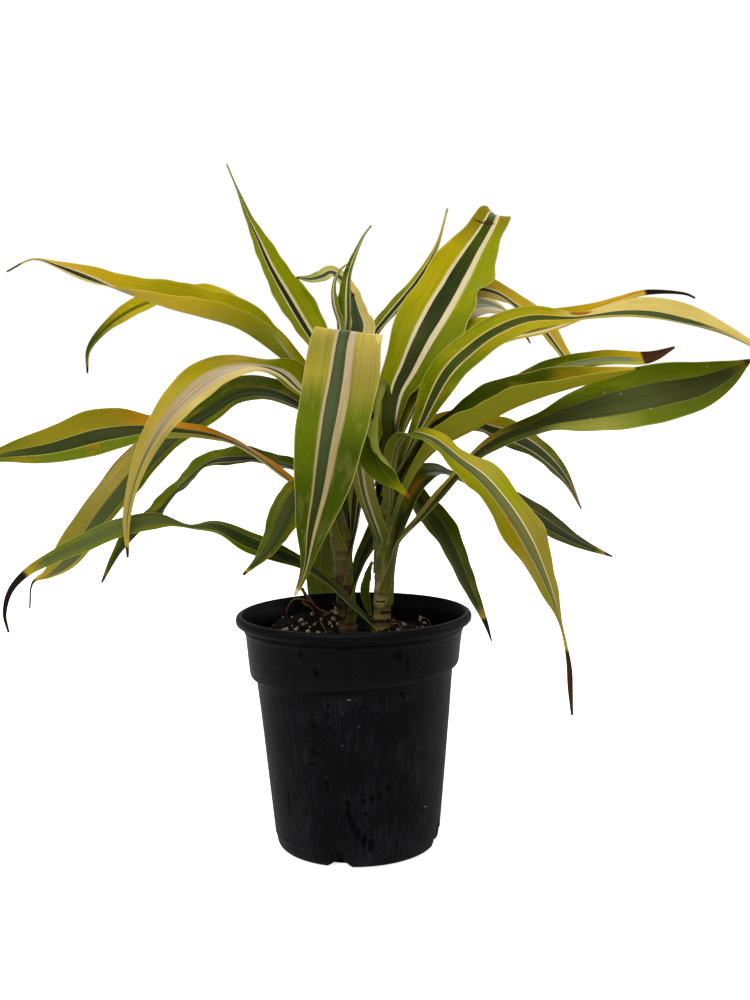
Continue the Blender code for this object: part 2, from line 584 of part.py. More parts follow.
def make_leaf(name, design, index):
    grid = blade_surface(design, index)
    slope = np.cross(np.gradient(grid, axis=1), np.gradient(grid, axis=0))
    skin = unit(slope) * BLADE / 2
    rows, columns = grid.shape[:2]
    points = np.concatenate([(grid + skin).reshape(-1, 3), (grid - skin).reshape(-1, 3)])
    under = rows * columns
    faces = []
    for i in range(rows - 1):
        for j in range(columns - 1):
            a = i * columns + j
            b, c, d = a + 1, a + columns + 1, a + columns
            faces += [(a, b, c), (a, c, d)]
            faces += [(under + a, under + c, under + b), (under + a, under + d, under + c)]
        for j, flip in ((0, False), (columns - 1, True)):
            a = i * columns + j
            d = a + columns
            sides = [(a, d, under + d), (a, under + d, under + a)]
            faces += [face[::-1] if flip else face for face in sides]
    for i, flip in ((0, True), (rows - 1, False)):
        for j in range(columns - 1):
            a = i * columns + j
            b = a + 1
            sides = [(a, b, under + b), (a, under + b, under + a)]
            faces += [face[::-1] if flip else face for face in sides]
    return add_object(name, points, faces, "leaf_" + name)


def outward(thing):
    """Turns the faces of a closed mesh outward."""
    work = bmesh.new()
    work.from_mesh(thing.data)
    bmesh.ops.recalc_face_normals(work, faces=work.faces)
    work.to_mesh(thing.data)
    work.free()


def main():
    clear_scene()
    pieces = [make_pot(), make_soil()]
    pieces += [make_cane(name) for name in CANES]
    pieces += [make_leaf(name, design, index) for index, (name, design) in enumerate(LEAVES.items())]
    for piece in pieces:
        outward(piece)


main()
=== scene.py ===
# Dresses the potted gold star dracaena: a black nursery pot with dust and water marks,
# rough soil with perlite and roots, two ringed canes and their striped, arching leaves.
# Lengths are in millimetres until a mesh is made. +Z is up and +Y runs away from the viewer.
import math
import random

import bmesh
import bpy
import numpy as np
from mathutils import Matrix, Vector, noise


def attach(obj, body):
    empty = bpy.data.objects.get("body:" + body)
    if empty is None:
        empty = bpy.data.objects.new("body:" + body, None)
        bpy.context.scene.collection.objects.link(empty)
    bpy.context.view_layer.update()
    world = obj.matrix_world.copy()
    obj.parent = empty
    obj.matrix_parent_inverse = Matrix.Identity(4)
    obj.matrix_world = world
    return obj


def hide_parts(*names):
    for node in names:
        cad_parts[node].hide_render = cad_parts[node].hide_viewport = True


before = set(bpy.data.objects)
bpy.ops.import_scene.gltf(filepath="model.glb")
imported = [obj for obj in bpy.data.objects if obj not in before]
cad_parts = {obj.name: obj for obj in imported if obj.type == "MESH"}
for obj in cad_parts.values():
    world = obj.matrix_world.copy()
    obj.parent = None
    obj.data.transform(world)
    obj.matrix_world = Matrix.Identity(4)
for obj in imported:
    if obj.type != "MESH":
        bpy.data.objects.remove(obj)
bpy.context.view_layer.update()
print("frame loaded:", len(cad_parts), "nodes")

mm = 0.001
tau = 2 * math.pi

palette = {  # red, green and blue as a screen shows them, 0 to 255
    "deepGreen": (32, 44, 11), "leafGreen": (56, 72, 5), "midGreen": (90, 106, 2), "lime": (132, 138, 3),
    "brightLime": (150, 150, 8), "paleLime": (158, 162, 70), "limeGold": (168, 154, 8),
    # the brightest gold is partly a leaf's own colour and partly painted light on its underside
    "gold": (194, 160, 22), "brightGold": (242, 208, 22), "oliveGold": (128, 116, 6),
    "orange": (192, 124, 18), "tan": (204, 168, 72), "goldTan": (188, 166, 66), "tanLime": (168, 155, 54),
    "tanOlive": (164, 148, 72), "oliveTan": (140, 130, 46), "bandTan": (168, 149, 104),
    "straw": (212, 190, 108), "cream": (214, 198, 158), "pinkCream": (188, 165, 132),
    "greyGreen": (66, 79, 50), "greyOlive": (76, 86, 40), "oliveGrey": (108, 108, 56),
    "stripeGrey": (98, 105, 64), "darkOlive": (44, 52, 18), "paleGrey": (126, 134, 96),
    "rimPale": (186, 176, 96), "sheathWhite": (114, 116, 64), "sheen": (255, 246, 150),
    "scarBrown": (140, 72, 22), "russet": (140, 72, 34), "deadBrown": (66, 36, 22),
    "deadBlack": (26, 16, 14), "darkStem": (44, 28, 16), "oliveCane": (92, 84, 30),
    "paleCane": (146, 130, 82), "rustCane": (80, 45, 16), "potBlack": (9, 9, 11), "potDust": (56, 56, 60),
    "soilBlack": (9, 7, 5), "soilBrown": (30, 21, 13), "perlite": (146, 134, 106), "amber": (150, 96, 46),
    "rootBrown": (84, 50, 28), "floor": (250, 250, 250), "white": (255, 255, 255),
}


def colour(name):  # a palette colour as the shaders take it
    shares = [c / 255 for c in palette[name]]
    return tuple(c / 12.92 if c <= 0.04045 else ((c + 0.055) / 1.055) ** 2.4 for c in shares) + (1.0,)


class Socket:  # one output of a shader node; operators on it add Math nodes
    def __init__(self, surface, socket):
        self.surface = surface
        self.socket = socket

    def maths(self, operation, first, second=0.0):
        return self.surface.node("Math", {"operation": operation}, {0: first, 1: second})

    def __add__(self, other):
        return self.maths("ADD", self, other)

    def __sub__(self, other):
        return self.maths("SUBTRACT", self, other)

    def __rsub__(self, other):
        return self.maths("SUBTRACT", other, self)

    def __mul__(self, other):
        return self.maths("MULTIPLY", self, other)

    def __truediv__(self, other):
        return self.maths("DIVIDE", self, other)

    def __pow__(self, other):
        return self.maths("POWER", self, other)

    def __abs__(self):
        return self.maths("ABSOLUTE", self)

    __radd__ = __add__
    __rmul__ = __mul__

    def least(self, other):
        return self.maths("MINIMUM", self, other)

    def most(self, other):
        return self.maths("MAXIMUM", self, other)

    def rise(self, low, high):  # eased from 0 at low to 1 at high
        eased = {"interpolation_type": "SMOOTHSTEP"}
        return self.surface.node("MapRange", eased, {0: self, 1: low, 2: high})

    def output(self, name):  # another output of the same node
        return Socket(self.surface, self.socket.node.outputs[name])


class Surface:  # a material whose nodes are written as expressions
    def __init__(self, name):
        self.material = bpy.data.materials.new(name)
        self.material.use_nodes = True
        self.tree = self.material.node_tree
        self.shader = self.tree.nodes["Principled BSDF"]

    def put(self, target, value):
        if isinstance(value, Socket):
            self.tree.links.new(value.socket, target)
        else:
            target.default_value = value

    def node(self, kind, settings, sockets, output=0):
        made = self.tree.nodes.new("ShaderNode" + kind)
        for name, value in settings.items():
            if name == "stops":
                made.color_ramp.interpolation = "LINEAR"
                for spare in list(made.color_ramp.elements)[len(value):]:
                    made.color_ramp.elements.remove(spare)
                for k, (place, shade) in enumerate(value):
                    stops = made.color_ramp.elements
                    stop = stops[k] if k < len(stops) else stops.new(place)
                    stop.position = place
                    stop.color = shade
            else:
                setattr(made, name, value)
        for name, value in sockets.items():
            self.put(made.inputs[name], value)
        return Socket(self, made.outputs[output])

    def mix(self, share, first, second):
        return self.node("Mix", {"data_type": "RGBA"}, {0: share, 6: first, 7: second}, 2)

    def ramp(self, place, stops):
        if len(stops) == 1:
            return stops[0][1]
        return self.node("ValToRGB", {"stops": stops}, {0: place})

    def join(self, x, y, z):
        return self.node("CombineXYZ", {}, {0: x, 1: y, 2: z})

    def grain(self, where, scale, detail=3.0, rough=0.55):  # soft noise from 0 to 1 about 0.5
        sockets = {"Vector": where, "Scale": scale, "Detail": detail, "Roughness": rough}
        return self.node("TexNoise", {}, sockets)

    def bump(self, height, strength, distance):
        return self.node("Bump", {}, {"Strength": strength, "Distance": distance, "Height": height})

    def finish(self, **sockets):  # sets the shader's own sockets; an underscore stands for a space
        for name, value in sockets.items():
            self.put(self.shader.inputs[name.replace("_", " ")], value)
        return self.material


def place(surface):  # where a point is, in millimetres
    spot = surface.node("TexCoord", {}, {}, "Object")
    spot = surface.node("VectorMath", {"operation": "SCALE"}, {0: spot, "Scale": 1000.0})
    parts = surface.node("SeparateXYZ", {}, {0: spot})
    return spot, parts, parts.output(1), parts.output(2)


def addPiece(name, points, faces, material, node=None, slot=None):
    mesh = bpy.data.meshes.new(name)
    mesh.from_pydata([tuple(float(c) * mm for c in p) for p in points], [], faces)
    mesh.validate()
    work = bmesh.new()
    work.from_mesh(mesh)
    bmesh.ops.recalc_face_normals(work, faces=work.faces)
    work.to_mesh(mesh)
    work.free()
    mesh.shade_smooth()
    mesh.set_sharp_from_angle(angle=math.radians(50))
    piece = bpy.data.objects.new(name, mesh)
    mesh.materials.append(material)
    bpy.context.collection.objects.link(piece)
    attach(piece, "root")
    if node:
        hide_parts(node)
    return piece


def ringFaces(rings, sides, first=0):  # the quads between equal rings of points, one ring after another
    lows = range(first, first + (rings - 1) * sides, sides)
    return [(low + k, low + (k + 1) % sides, low + sides + (k + 1) % sides, low + sides + k)
            for low in lows for k in range(sides)]


def tubeFaces(rings, sides):  # the same with both ends closed
    last = rings * sides
    return [tuple(range(sides - 1, -1, -1)), tuple(range(last - sides, last))] + ringFaces(rings, sides)


def turned(profile, sides):  # a solid turned about Z from (radius, height) pairs, its ends on the axis
    points = [(0.0, 0.0, profile[0][1])]
    for radius, height in profile[1:-1]:
        points += [(radius * math.cos(tau * k / sides), radius * math.sin(tau * k / sides), height)
                   for k in range(sides)]
    points.append((0.0, 0.0, profile[-1][1]))
    last = len(points) - 1
    faces = ringFaces(len(profile) - 2, sides, 1)
    for k in range(sides):
        after = (k + 1) % sides
        faces += [(0, 1 + after, 1 + k), (last, last - sides + k, last - sides + after)]
    return points, faces


def rounded(profile, share=0.3):  # the same profile with each corner cut to a short arc
    made = [profile[0]]
    for before, corner, after in zip(profile, profile[1:], profile[2:]):
        near = [c + (b - c) * share for b, c in zip(before, corner)]
        far = [c + (a - c) * share for a, c in zip(after, corner)]
        middle = [(n + f + 2 * c) / 4 for n, f, c in zip(near, far, corner)]
        made += [tuple(near), tuple(middle), tuple(far)]
    return made + [profile[-1]]


# Pot

potLook = dict(sides=240, rimRadius=82.5, height=166.0, wall=1.6, collarFoot=130.0, bodyTop=68.8,
               bodyFoot=58.2, base=51.5, flat=44.0, floor=2.4, notches=4, notchTurn=-103.0, notchHalf=9.0,
               notchIn=4.5, notchLift=5.2, notchTop=24.0, stepTilt=0.05, shine=0.05, dustAndSheenShare=0.45,
               wetShade=(0.0003, 0.0003, 0.0004, 1.0), paintedInsideShade=(0.001, 0.001, 0.001, 1.0))
wetMarks = [  # dark wet marks that the viewer sees: middle x, middle z, half width, half height, tilt
    (-17, 115, 1.2, 2.3, 0.0), (-17, 109, 1.5, 1.7, 0.3), (-28, 108, 1.2, 1.4, 0.0),
    (-27, 101, 1.4, 3.3, 0.1), (-16, 100, 1.5, 1.7, 0.0), (-28, 90, 0.9, 1.2, 0.0),
    (-27, 82, 1.8, 3.2, 0.5), (-28, 74, 3.6, 1.2, -0.4), (-33, 70, 1.2, 1.2, 0.0), (-19, 60, 1.7, 4.3, 0.1),
    (-5, 47, 2.1, 2.7, 0.3), (5, 49, 1.8, 2.2, 0.4), (11, 50, 1.8, 1.8, 0.0), (16, 52, 1.4, 2.7, 0.0),
    (22, 57, 2.0, 1.6, -0.4), (6, 40, 1.6, 1.7, 0.4), (-24, 138, 1.9, 2.8, 0.3), (-34, 150, 1.8, 2.8, 0.0),
    (-5, 155, 6.5, 0.9, 0.0), (36, 141, 1.0, 9.5, 0.0), (32, 120, 1.6, 2.8, 0.3), (46, 130, 1.2, 1.5, 0.0),
    (-46, 43, 1.2, 11.0, 0.05), (30, 148, 3.0, 4.0, 0.2),
]
wetStreak = [  # a curved run of water: x, z
    (-5.5, 44), (-5.0, 38.5), (-3.3, 33), (-0.7, 28), (2.8, 23.5), (6.8, 19.3), (12.2, 15),
]
paleMarks = [  # dust lines and specks, given as the wet marks are
    (-3, 119.5, 1.7, 0.5, 0.1), (47, 37, 1.6, 0.4, -0.35), (-8, 88, 0.5, 0.5, 0.0), (3, 101, 0.4, 0.4, 0.0),
]


def innerWall():
    look = potLook
    foot, top = look["bodyFoot"] - look["wall"], look["bodyTop"] - look["wall"]
    collar, floor = look["collarFoot"], look["floor"]
    return [(look["flat"], floor), (look["base"] - 1.5, floor), (foot - 2.0, floor + 3.2), (foot, 12.0),
            (foot + 0.4, 15.5), (foot + 0.8, 19.0), (foot + 1.2, 23.0), (top, collar - 6.0),
            (top + 0.7, collar - 2.0), (73.2 - look["wall"], collar + 2.4),
            (75.8 - look["wall"], look["height"] - 10.0), (76.8, look["height"] - 3.5)]


def outerWall():
    base, foot, top, collar = (potLook[k] for k in ("base", "bodyFoot", "bodyTop", "collarFoot"))
    height, rim = potLook["height"], potLook["rimRadius"]
    body = [(potLook["flat"], 0.0), (base, 0.0), (base + 2.4, 0.9), (foot - 2.2, 2.9), (foot - 1.1, 6.2),
            (foot - 0.6, 10.2), (foot + 0.1, 11.0), (foot + 0.4, 15.0), (foot + 0.8, 19.0),
            (foot + 1.2, 23.0), (top, collar - 6.0)]
    step = [(top + 0.4, collar - 5.6), (top + 2.0, collar - 4.8), (72.6, collar - 3.4),
            (73.3, collar - 1.4), (73.6, collar + 1.0), (75.8, height - 13.0), (76.8, height - 11.8)]
    lip = [(76.9, height - 10.4), (76.4, height - 9.2), (77.0, height - 7.8), (rim - 1.6, height - 7.2),
           (rim - 0.2, height - 5.6), (rim, height - 3.2), (rim - 0.8, height - 1.2),
           (rim - 2.6, height - 0.1), (rim - 4.2, height - 0.3)]
    return body + step + lip


def eased(share):
    share = min(1.0, max(0.0, share))
    return share * share * (3 - 2 * share)


def shaped(points):  # presses the notches into the foot and tilts the collar's step a little
    look = potLook
    step = 360 / look["notches"]
    made = []
    for x, y, z in points:
        reach = math.hypot(x, y)
        off = (math.degrees(math.atan2(y, x)) - look["notchTurn"] + step / 2) % step - step / 2
        side = abs(math.radians(off)) * reach
        notch = max(0.0, 1 - side / look["notchHalf"]) ** 1.2 * eased((reach - look["flat"]) / 7.0)
        keep = 1 - notch * look["notchIn"] * eased((look["notchTop"] - z) / 16.0) / max(reach, 1.0)
        lift = notch * look["notchLift"] * eased((16.0 - z) / 12.0)
        tilt = look["stepTilt"] * x * eased((z - 100.0) / 18.0) * eased((152.0 - z) / 14.0)
        made.append((x * keep, y * keep, z + lift + tilt))
    return made


def wetMask(surface, spot, across, up):  # 1 where the pot is wet
    marks = []
    for x, z, wide, high, tilt in wetMarks:
        dx, dz = across - x, up - z
        marks.append(((dx + dz * tilt) / wide) ** 2 + (dz / high) ** 2)
    for (x, z), (nextX, nextZ) in zip(wetStreak, wetStreak[1:]):
        marks.append(((across - (x + nextX) / 2) / 1.9) ** 2 + ((up - (z + nextZ) / 2) / 5.0) ** 2)
    mask = marks[0]
    for mark in marks[1:]:
        mask = mask.least(mark)
    ragged = surface.grain(spot, 0.5, 2.0)
    return 1 - (mask + (ragged - 0.5) * 1.3).rise(0.6, 1.2)


def potSurface():
    surface = Surface("blackPlastic")
    spot, across, deep, up = place(surface)
    broad = surface.grain(spot, 0.035, 4.0)
    streaks = surface.grain(surface.join(across * 0.6, deep * 0.6, up * 0.045), 1.0, 3.0)
    fine = surface.grain(spot, 1.6, 2.0)
    specks = surface.grain(spot, 0.9, 1.0).rise(0.74, 0.80)
    front = 1 - deep.rise(-8, 0)  # the marks are only on the viewer's side
    wet = wetMask(surface, spot, across, up) * front
    low = 1 - up.rise(2, 34)  # more dust near the foot
    paintedRightSheen = across.rise(25, 62) * up.rise(20, 80) * 0.22  # painted sheen: the right side is lighter, standing in for a reflection there
    body = 1 - up.rise(116, 126)  # less dust on the collar
    # dust over the pot, and on its right side a painted sheen
    dustAndSheen = (broad * 0.9 - 0.36 + (streaks - 0.5) * 0.8 + low * 0.16 + paintedRightSheen) * (0.35 + body * 0.65)
    dustAndSheen = dustAndSheen.rise(0.0, 0.7) * potLook["dustAndSheenShare"]
    dry = 1 - wet
    shade = surface.mix(dustAndSheen * dry, colour("potBlack"), colour("potDust"))
    shade = surface.mix(specks * dry * 0.55, shade, surface.mix(0.5, colour("potDust"), colour("perlite")))
    shade = surface.mix(wet, shade, potLook["wetShade"])
    for x, z, wide, high, tilt in paleMarks:
        dx, dz = across - x, up - z
        mark = ((dx + dz * tilt) / wide) ** 2 + ((dz - dx * tilt) / high) ** 2
        shade = surface.mix((1 - mark.rise(0.4, 1.2)) * front * 0.6, shade, colour("perlite"))
    scuffs = surface.grain(surface.join(across * 0.9, deep * 0.9, up * 0.12), 1.0, 5.0, 0.7)
    relief = surface.bump(fine * 0.35 + scuffs * 0.65, 0.22, 0.0006)
    rough = (0.40 + dustAndSheen * 0.35 + (scuffs - 0.5) * 0.25) * dry + wet * 0.5
    step = 1 - abs(up - potLook["collarFoot"] + 1.5).rise(0.5, 4.0)
    reach = (across ** 2 + deep ** 2) ** 0.5
    outside = (reach - (up - 132) * 0.1).rise(72.3, 72.9)  # 0 on the inside of the collar
    # painted shade: the inside of the collar and rim is darker than the plastic, as shade falls there
    shade = surface.mix((1 - outside) * up.rise(126, 130), shade, potLook["paintedInsideShade"])
    gloss = (step * 0.07 + up.rise(126, 134) * (1 - up.rise(157, 160)) * 0.04) * outside * dry
    return surface.finish(Base_Color=shade, Roughness=rough, Normal=relief, Coat_Weight=gloss,
                          Specular_IOR_Level=potLook["shine"], Coat_Roughness=0.22)


def makePot():
    profile = [(0.0, 0.0)] + rounded(outerWall() + innerWall()[::-1]) + [(0.0, potLook["floor"])]
    points, faces = turned(profile, potLook["sides"])
    return addPiece("potBody", shaped(points), faces, potSurface(), "pot", "pot")


makePot()
print("pot made")


# Soil

soilLook = dict(level=147.0, lump=1.6, rings=46, sides=150, crumb=1.7, perlite=50, bark=90, seed=11,
                caneFeet=((-5, 18), (19, 3)), clear=9.5)


def soilHeight(x, y):
    lumps = (math.sin(0.21 * x + 0.6) * math.cos(0.17 * y - 0.4) + 0.6 * math.sin(0.41 * x - 0.33 * y + 1.3)
             + 0.4 * math.cos(0.55 * y + 0.12 * x + 2.1))
    heap = 8.0 * eased((y - 12) / 36) * eased((30 - x) / 44)
    crumb = noise.fractal(Vector((x * 0.16, y * 0.16, 3.0)), 0.6, 2.2, 6) * soilLook["crumb"]
    pebbles = max(0.0, noise.noise(Vector((x * 0.55, y * 0.55, 9.0))) - 0.1) * 3.0
    return soilLook["level"] + soilLook["lump"] * 0.5 * lumps + heap + crumb + pebbles


def soilSurface():
    surface = Surface("pottingSoil")
    spot, across, deep, up = place(surface)
    coarse = surface.grain(spot, 0.22, 6.0, 0.7)
    fine = surface.grain(spot, 1.5, 4.0, 0.7)
    flecks = surface.grain(spot, 0.8, 2.0).rise(0.66, 0.74)
    shade = surface.mix(coarse.rise(0.45, 0.72), colour("soilBlack"), colour("soilBrown"))
    shade = surface.mix(flecks * 0.5, shade, colour("rootBrown"))
    relief = surface.bump(coarse + fine * 0.6, 0.8, 0.0016)
    return surface.finish(Base_Color=shade, Roughness=0.95, Normal=relief, Specular_IOR_Level=0.15)


def makeSoil():
    wall = innerWall()
    side = [(radius - 0.35, height + 0.35) for radius, height in wall[:-2]]
    low, high = wall[-3], wall[-2]
    level = soilLook["level"]
    edge = low[0] + (high[0] - low[0]) * (level - 2.5 - low[1]) / (high[1] - low[1]) - 0.35
    rings = [(edge, level - 3.0)]
    rings += [((edge - 0.3) * (1 - k / soilLook["rings"]), level) for k in range(soilLook["rings"])]
    points, faces = turned([(0.0, 2.75)] + side + rings + [(0.0, level)], soilLook["sides"])
    top = 1 + (len(side) + 1) * soilLook["sides"]
    for k in range(top, len(points)):
        x, y, _ = points[k]
        nearWall = min(1.0, (edge - math.hypot(x, y)) / 6.0)
        points[k] = (x, y, level - 2.2 + (soilHeight(x, y) - level + 2.2) * nearWall)
    return addPiece("soilFill", shaped(points), faces, soilSurface(), "soil", "soil")


def lump(middle, size, rough, chance):  # a small uneven stone as points and faces
    work = bmesh.new()
    bmesh.ops.create_icosphere(work, subdivisions=2, radius=1.0)
    shift = Vector((chance.random(), chance.random(), chance.random())) * 40
    points = []
    for vert in work.verts:
        swell = 1 + rough * noise.noise(vert.co * 1.3 + shift) * 1.6
        points.append([middle[k] + vert.co[k] * size[k] * swell for k in range(3)])
    faces = [[vert.index for vert in face.verts] for face in work.faces]
    work.free()
    return points, faces


def gather(shapes):  # several shapes as one
    points, faces = [], []
    for somePoints, someFaces in shapes:
        start = len(points)
        points += somePoints
        faces += [[start + k for k in face] for face in someFaces]
    return points, faces


def tube(path, radii, sides=8):  # a round tube through the points, closed at both ends
    path = np.asarray(path, float)
    tangents = np.gradient(path, axis=0)
    tangents /= np.linalg.norm(tangents, axis=1, keepdims=True)
    start = np.cross(tangents[0], (0.3, 0.2, 0.93))
    points = []
    for spot, tangent, radius in zip(path, tangents, radii):
        start = start - tangent * start.dot(tangent)
        start = start / np.linalg.norm(start)
        other = np.cross(tangent, start)
        for k in range(sides):
            turn = tau * k / sides
            points.append(list(spot + radius * (start * math.cos(turn) + other * math.sin(turn))))
    return points, tubeFaces(len(path), sides)


def plainGrit(name, shade, other, rough):  # a grainy stone or bark material
    surface = Surface(name)
    spot = place(surface)[0]
    grain = surface.grain(spot, 1.1, 4.0)
    tone = surface.mix(grain.rise(0.35, 0.7), colour(shade), colour(other))
    relief = surface.bump(surface.grain(spot, 2.4, 3.0), 0.6, 0.0005)
    return surface.finish(Base_Color=tone, Roughness=rough, Normal=relief, Specular_IOR_Level=0.3)


perlitePlaces = [  # the grains that show in front: x, y, size
    (-51, 23, 1.2), (-49, 25, 1.5), (-45, 27, 0.9), (-39, 36, 1.7), (-40, 38, 1.1), (-41, 23, 0.8),
    (-37, 26, 1.3), (-33, 17, 1.9), (-31, 44, 1.7), (-29, 28, 1.0), (-26, 17, 1.5), (-46, 43, 0.9),
    (-15, 33, 2.0), (-14, 46, 2.3), (-18, 30, 1.6), (-12, 29, 1.5), (-16, 25, 1.3), (-14, 57, 1.6),
    (-22, 50, 0.9), (-24, 35, 0.9), (-11, 38, 1.6), (-35, 32, 0.8), (-32, 25, 0.8), (46, 60, 2.2),
    (49, 55, 1.9), (51, 42, 1.3), (36, 40, 1.9), (29, 38, 1.2), (45, 27, 1.0), (49, 30, 1.2), (31, 21, 1.1),
    (41, 24, 0.8),
]
rootPaths = {  # woody bits that lie in the soil or arch over it: points and thickness
    "stick": ([(-38, 40, 176), (-36, 41, 172), (-33, 42, 168), (-30, 44, 163), (-26, 46, 159),
               (-22, 48, 157), (-18, 50, 154)], 1.3),
    "archRoot": ([(-33, 42, 166), (-39, 41, 168), (-42, 41, 168), (-45, 41, 167), (-48, 42, 163),
                  (-50, 44, 158), (-50, 48, 152)], 0.7),
    "stub": ([(-38, 41, 166), (-36, 41, 164), (-34, 41, 163), (-31, 42, 160), (-30, 44, 153)], 0.9),
    "loopRoot": ([(-14, 50, 156), (-16, 48, 158), (-18, 45, 157), (-22, 42, 155), (-25, 36, 154),
                  (-24, 30, 152), (-22, 24, 150), (-20, 18, 146)], 0.8),
    "thinRoot": ([(-32, 26, 149), (-28, 30, 152), (-24, 36, 152), (-21, 40, 152)], 0.5),
    "rightRoot": ([(25, 14, 148), (26, 16, 154), (28, 18, 155), (30, 22, 154), (32, 24, 151),
                   (34, 20, 146)], 0.55),
    "farRoot": ([(48, 52, 147), (50, 48, 151), (53, 44, 151), (56, 40, 146)], 0.5),
}


def clearOfCanes(x, y):
    return all(math.hypot(x - cx, y - cy) > soilLook["clear"] for cx, cy in soilLook["caneFeet"])


def makeSoilBits():
    chance = random.Random(soilLook["seed"])
    white, brown = [], []
    places = list(perlitePlaces)
    while len(places) < soilLook["perlite"]:
        reach, turn = 66 * math.sqrt(chance.random()), tau * chance.random()
        spot = (reach * math.cos(turn), reach * math.sin(turn), chance.uniform(0.6, 1.4))
        if clearOfCanes(spot[0], spot[1]):
            places.append(spot)
    for x, y, size in places:
        shape = [size * chance.uniform(0.75, 1.15) for _ in range(3)]
        white.append(lump((x, y, soilHeight(x, y) + size * 0.55), shape, 0.5, chance))
    while len(brown) < soilLook["bark"]:
        reach, turn = 67 * math.sqrt(chance.random()), tau * chance.random()
        x, y, size = reach * math.cos(turn), reach * math.sin(turn), chance.uniform(0.7, 2.0)
        if clearOfCanes(x, y):
            shape = (size * chance.uniform(0.9, 2.2), size * chance.uniform(0.5, 1.0), size * 0.5)
            brown.append(lump((x, y, soilHeight(x, y) + size * 0.2), shape, 0.7, chance))
    roots = []
    for path, radius in rootPaths.values():
        fine = smoothThrough(path, 26)
        radii = [radius * (1.05 - 0.55 * k / 25) * (1 + 0.18 * math.sin(k * 2.1)) for k in range(26)]
        roots.append(tube(fine, radii))
    for name, shapes, skin in (("perliteGrains", white, ("perliteWhite", "perlite", "pinkCream", 0.8)),
                               ("barkChips", brown, ("barkBrown", "soilBrown", "rootBrown", 0.85)),
                               ("roots", roots, ("rootBark", "amber", "rustCane", 0.75))):
        addPiece(name, *gather(shapes), plainGrit(*skin), slot="soil")


def hermite(t, first, second, slope, nextSlope):  # between two values with a slope at each
    return ((2 * t ** 3 - 3 * t ** 2 + 1) * first + (t ** 3 - 2 * t ** 2 + t) * slope
            + (3 * t ** 2 - 2 * t ** 3) * second + (t ** 3 - t ** 2) * nextSlope)


def smoothThrough(points, count):  # points spread along a smooth curve through the given ones
    points = np.asarray(points, float)
    knots = np.concatenate([[0.0], np.cumsum(np.sqrt(np.linalg.norm(np.diff(points, axis=0), axis=1)))])
    slopes = np.gradient(points, knots, axis=0)
    places = np.linspace(0.0, knots[-1], count)
    k = np.clip(np.searchsorted(knots, places, side="right") - 1, 0, len(points) - 2)
    span = (knots[k + 1] - knots[k])[:, None]
    t = (places - knots[k])[:, None] / span
    return hermite(t, points[k], points[k + 1], span * slopes[k], span * slopes[k + 1])


makeSoil()
makeSoilBits()
print("soil made")


# Canes

caneLook = dict(sides=40, step=0.6, radius=6.2, tip=2.6, ringSpacing=10.0, ringRise=0.5, buried=112.0)
canes = {  # path, the height where the leaf sheaths begin, and the bark's shades by height
    "left": dict(
        path=[(-5, 18, 112), (-5, 18, 150), (-7, 16, 189), (-9, 14, 224), (-7, 12, 285), (-5, 10, 342)],
        core=228, stain=0.7, collar=0.06,
        shades=[(150, "rustCane"), (172, "darkStem"), (188, "rustCane"), (198, "oliveCane")]),
    "right": dict(
        path=[(19, 3, 112), (19, 3, 151), (21, 3, 180), (22, 3, 203), (24, 4, 250), (28, 5, 298)],
        core=206, stain=0.4, collar=0.20,
        shades=[(168, "oliveCane"), (174, "paleCane"), (184, "paleCane"), (196, "oliveCane")]),
}


def caneMiddle(name, height):
    path = np.asarray(canes[name]["path"], float)
    return np.array([np.interp(height, path[:, 2], path[:, k]) for k in range(3)])


def caneRadius(name, height):
    core, top = canes[name]["core"], canes[name]["path"][-1][2]
    radius, spacing = caneLook["radius"], caneLook["ringSpacing"]
    if height > core:
        return radius + (caneLook["tip"] - radius) * (height - core) / (top - core)
    step = (height % spacing) / spacing
    return radius + caneLook["ringRise"] * max(0.0, 1.0 - 4.0 * min(step, 1.0 - step))


def caneSurface(name):
    cane = canes[name]
    surface = Surface("cane" + name.title())
    spot, across, deep, up = place(surface)
    wavy = (surface.grain(spot, 0.16, 2.0) - 0.5) * 4.0
    phase = surface.node("Math", {"operation": "FRACT"}, {0: (up + wavy) / caneLook["ringSpacing"]})
    edge = phase.least(1 - phase)
    scar = (1 - edge.rise(0.0, 0.07)) * surface.grain(spot, 0.35, 2.0).rise(0.35, 0.6)
    collar = 1 - phase.rise(0.08, 0.5)  # paler just above each scar
    stain = surface.grain(spot, 0.09, 5.0, 0.65).rise(0.52, 0.62)
    specks = surface.grain(spot, 0.9, 3.0, 0.7).rise(0.64, 0.74)
    fibres = surface.grain(surface.join(across * 1.4, deep * 1.4, up * 0.12), 1.0, 3.0)
    low, high = caneLook["buried"], 240.0
    tone = surface.ramp((up + wavy - low) / (high - low),
                        [((at - low) / (high - low), colour(shade)) for at, shade in cane["shades"]])
    shade = surface.mix(fibres.rise(0.3, 0.75) * 0.25, tone, colour("paleCane"))
    shade = surface.mix(collar * cane["collar"], shade, colour("tan"))
    shade = surface.mix(stain * cane["stain"], shade, colour("rustCane"))
    shade = surface.mix(specks * 0.6, shade, colour("darkStem"))
    shade = surface.mix(scar * 0.65, shade, colour("darkStem"))
    stripes = surface.grain(surface.join(across * 0.5, deep * 0.5, up * 0.008), 1.0, 2.0)
    wrapped = surface.mix(stripes.rise(0.53, 0.62), colour("deepGreen"), colour("sheathWhite"))
    shade = surface.mix((up + wavy * 2).rise(cane["core"] - 8, cane["core"] + 4), shade, wrapped)
    relief = surface.bump(fibres * 0.5 - scar * 0.7 + collar * 0.3, 0.6, 0.0008)
    return surface.finish(Base_Color=shade, Roughness=0.55 + fibres * 0.2, Normal=relief,
                          Specular_IOR_Level=0.4)


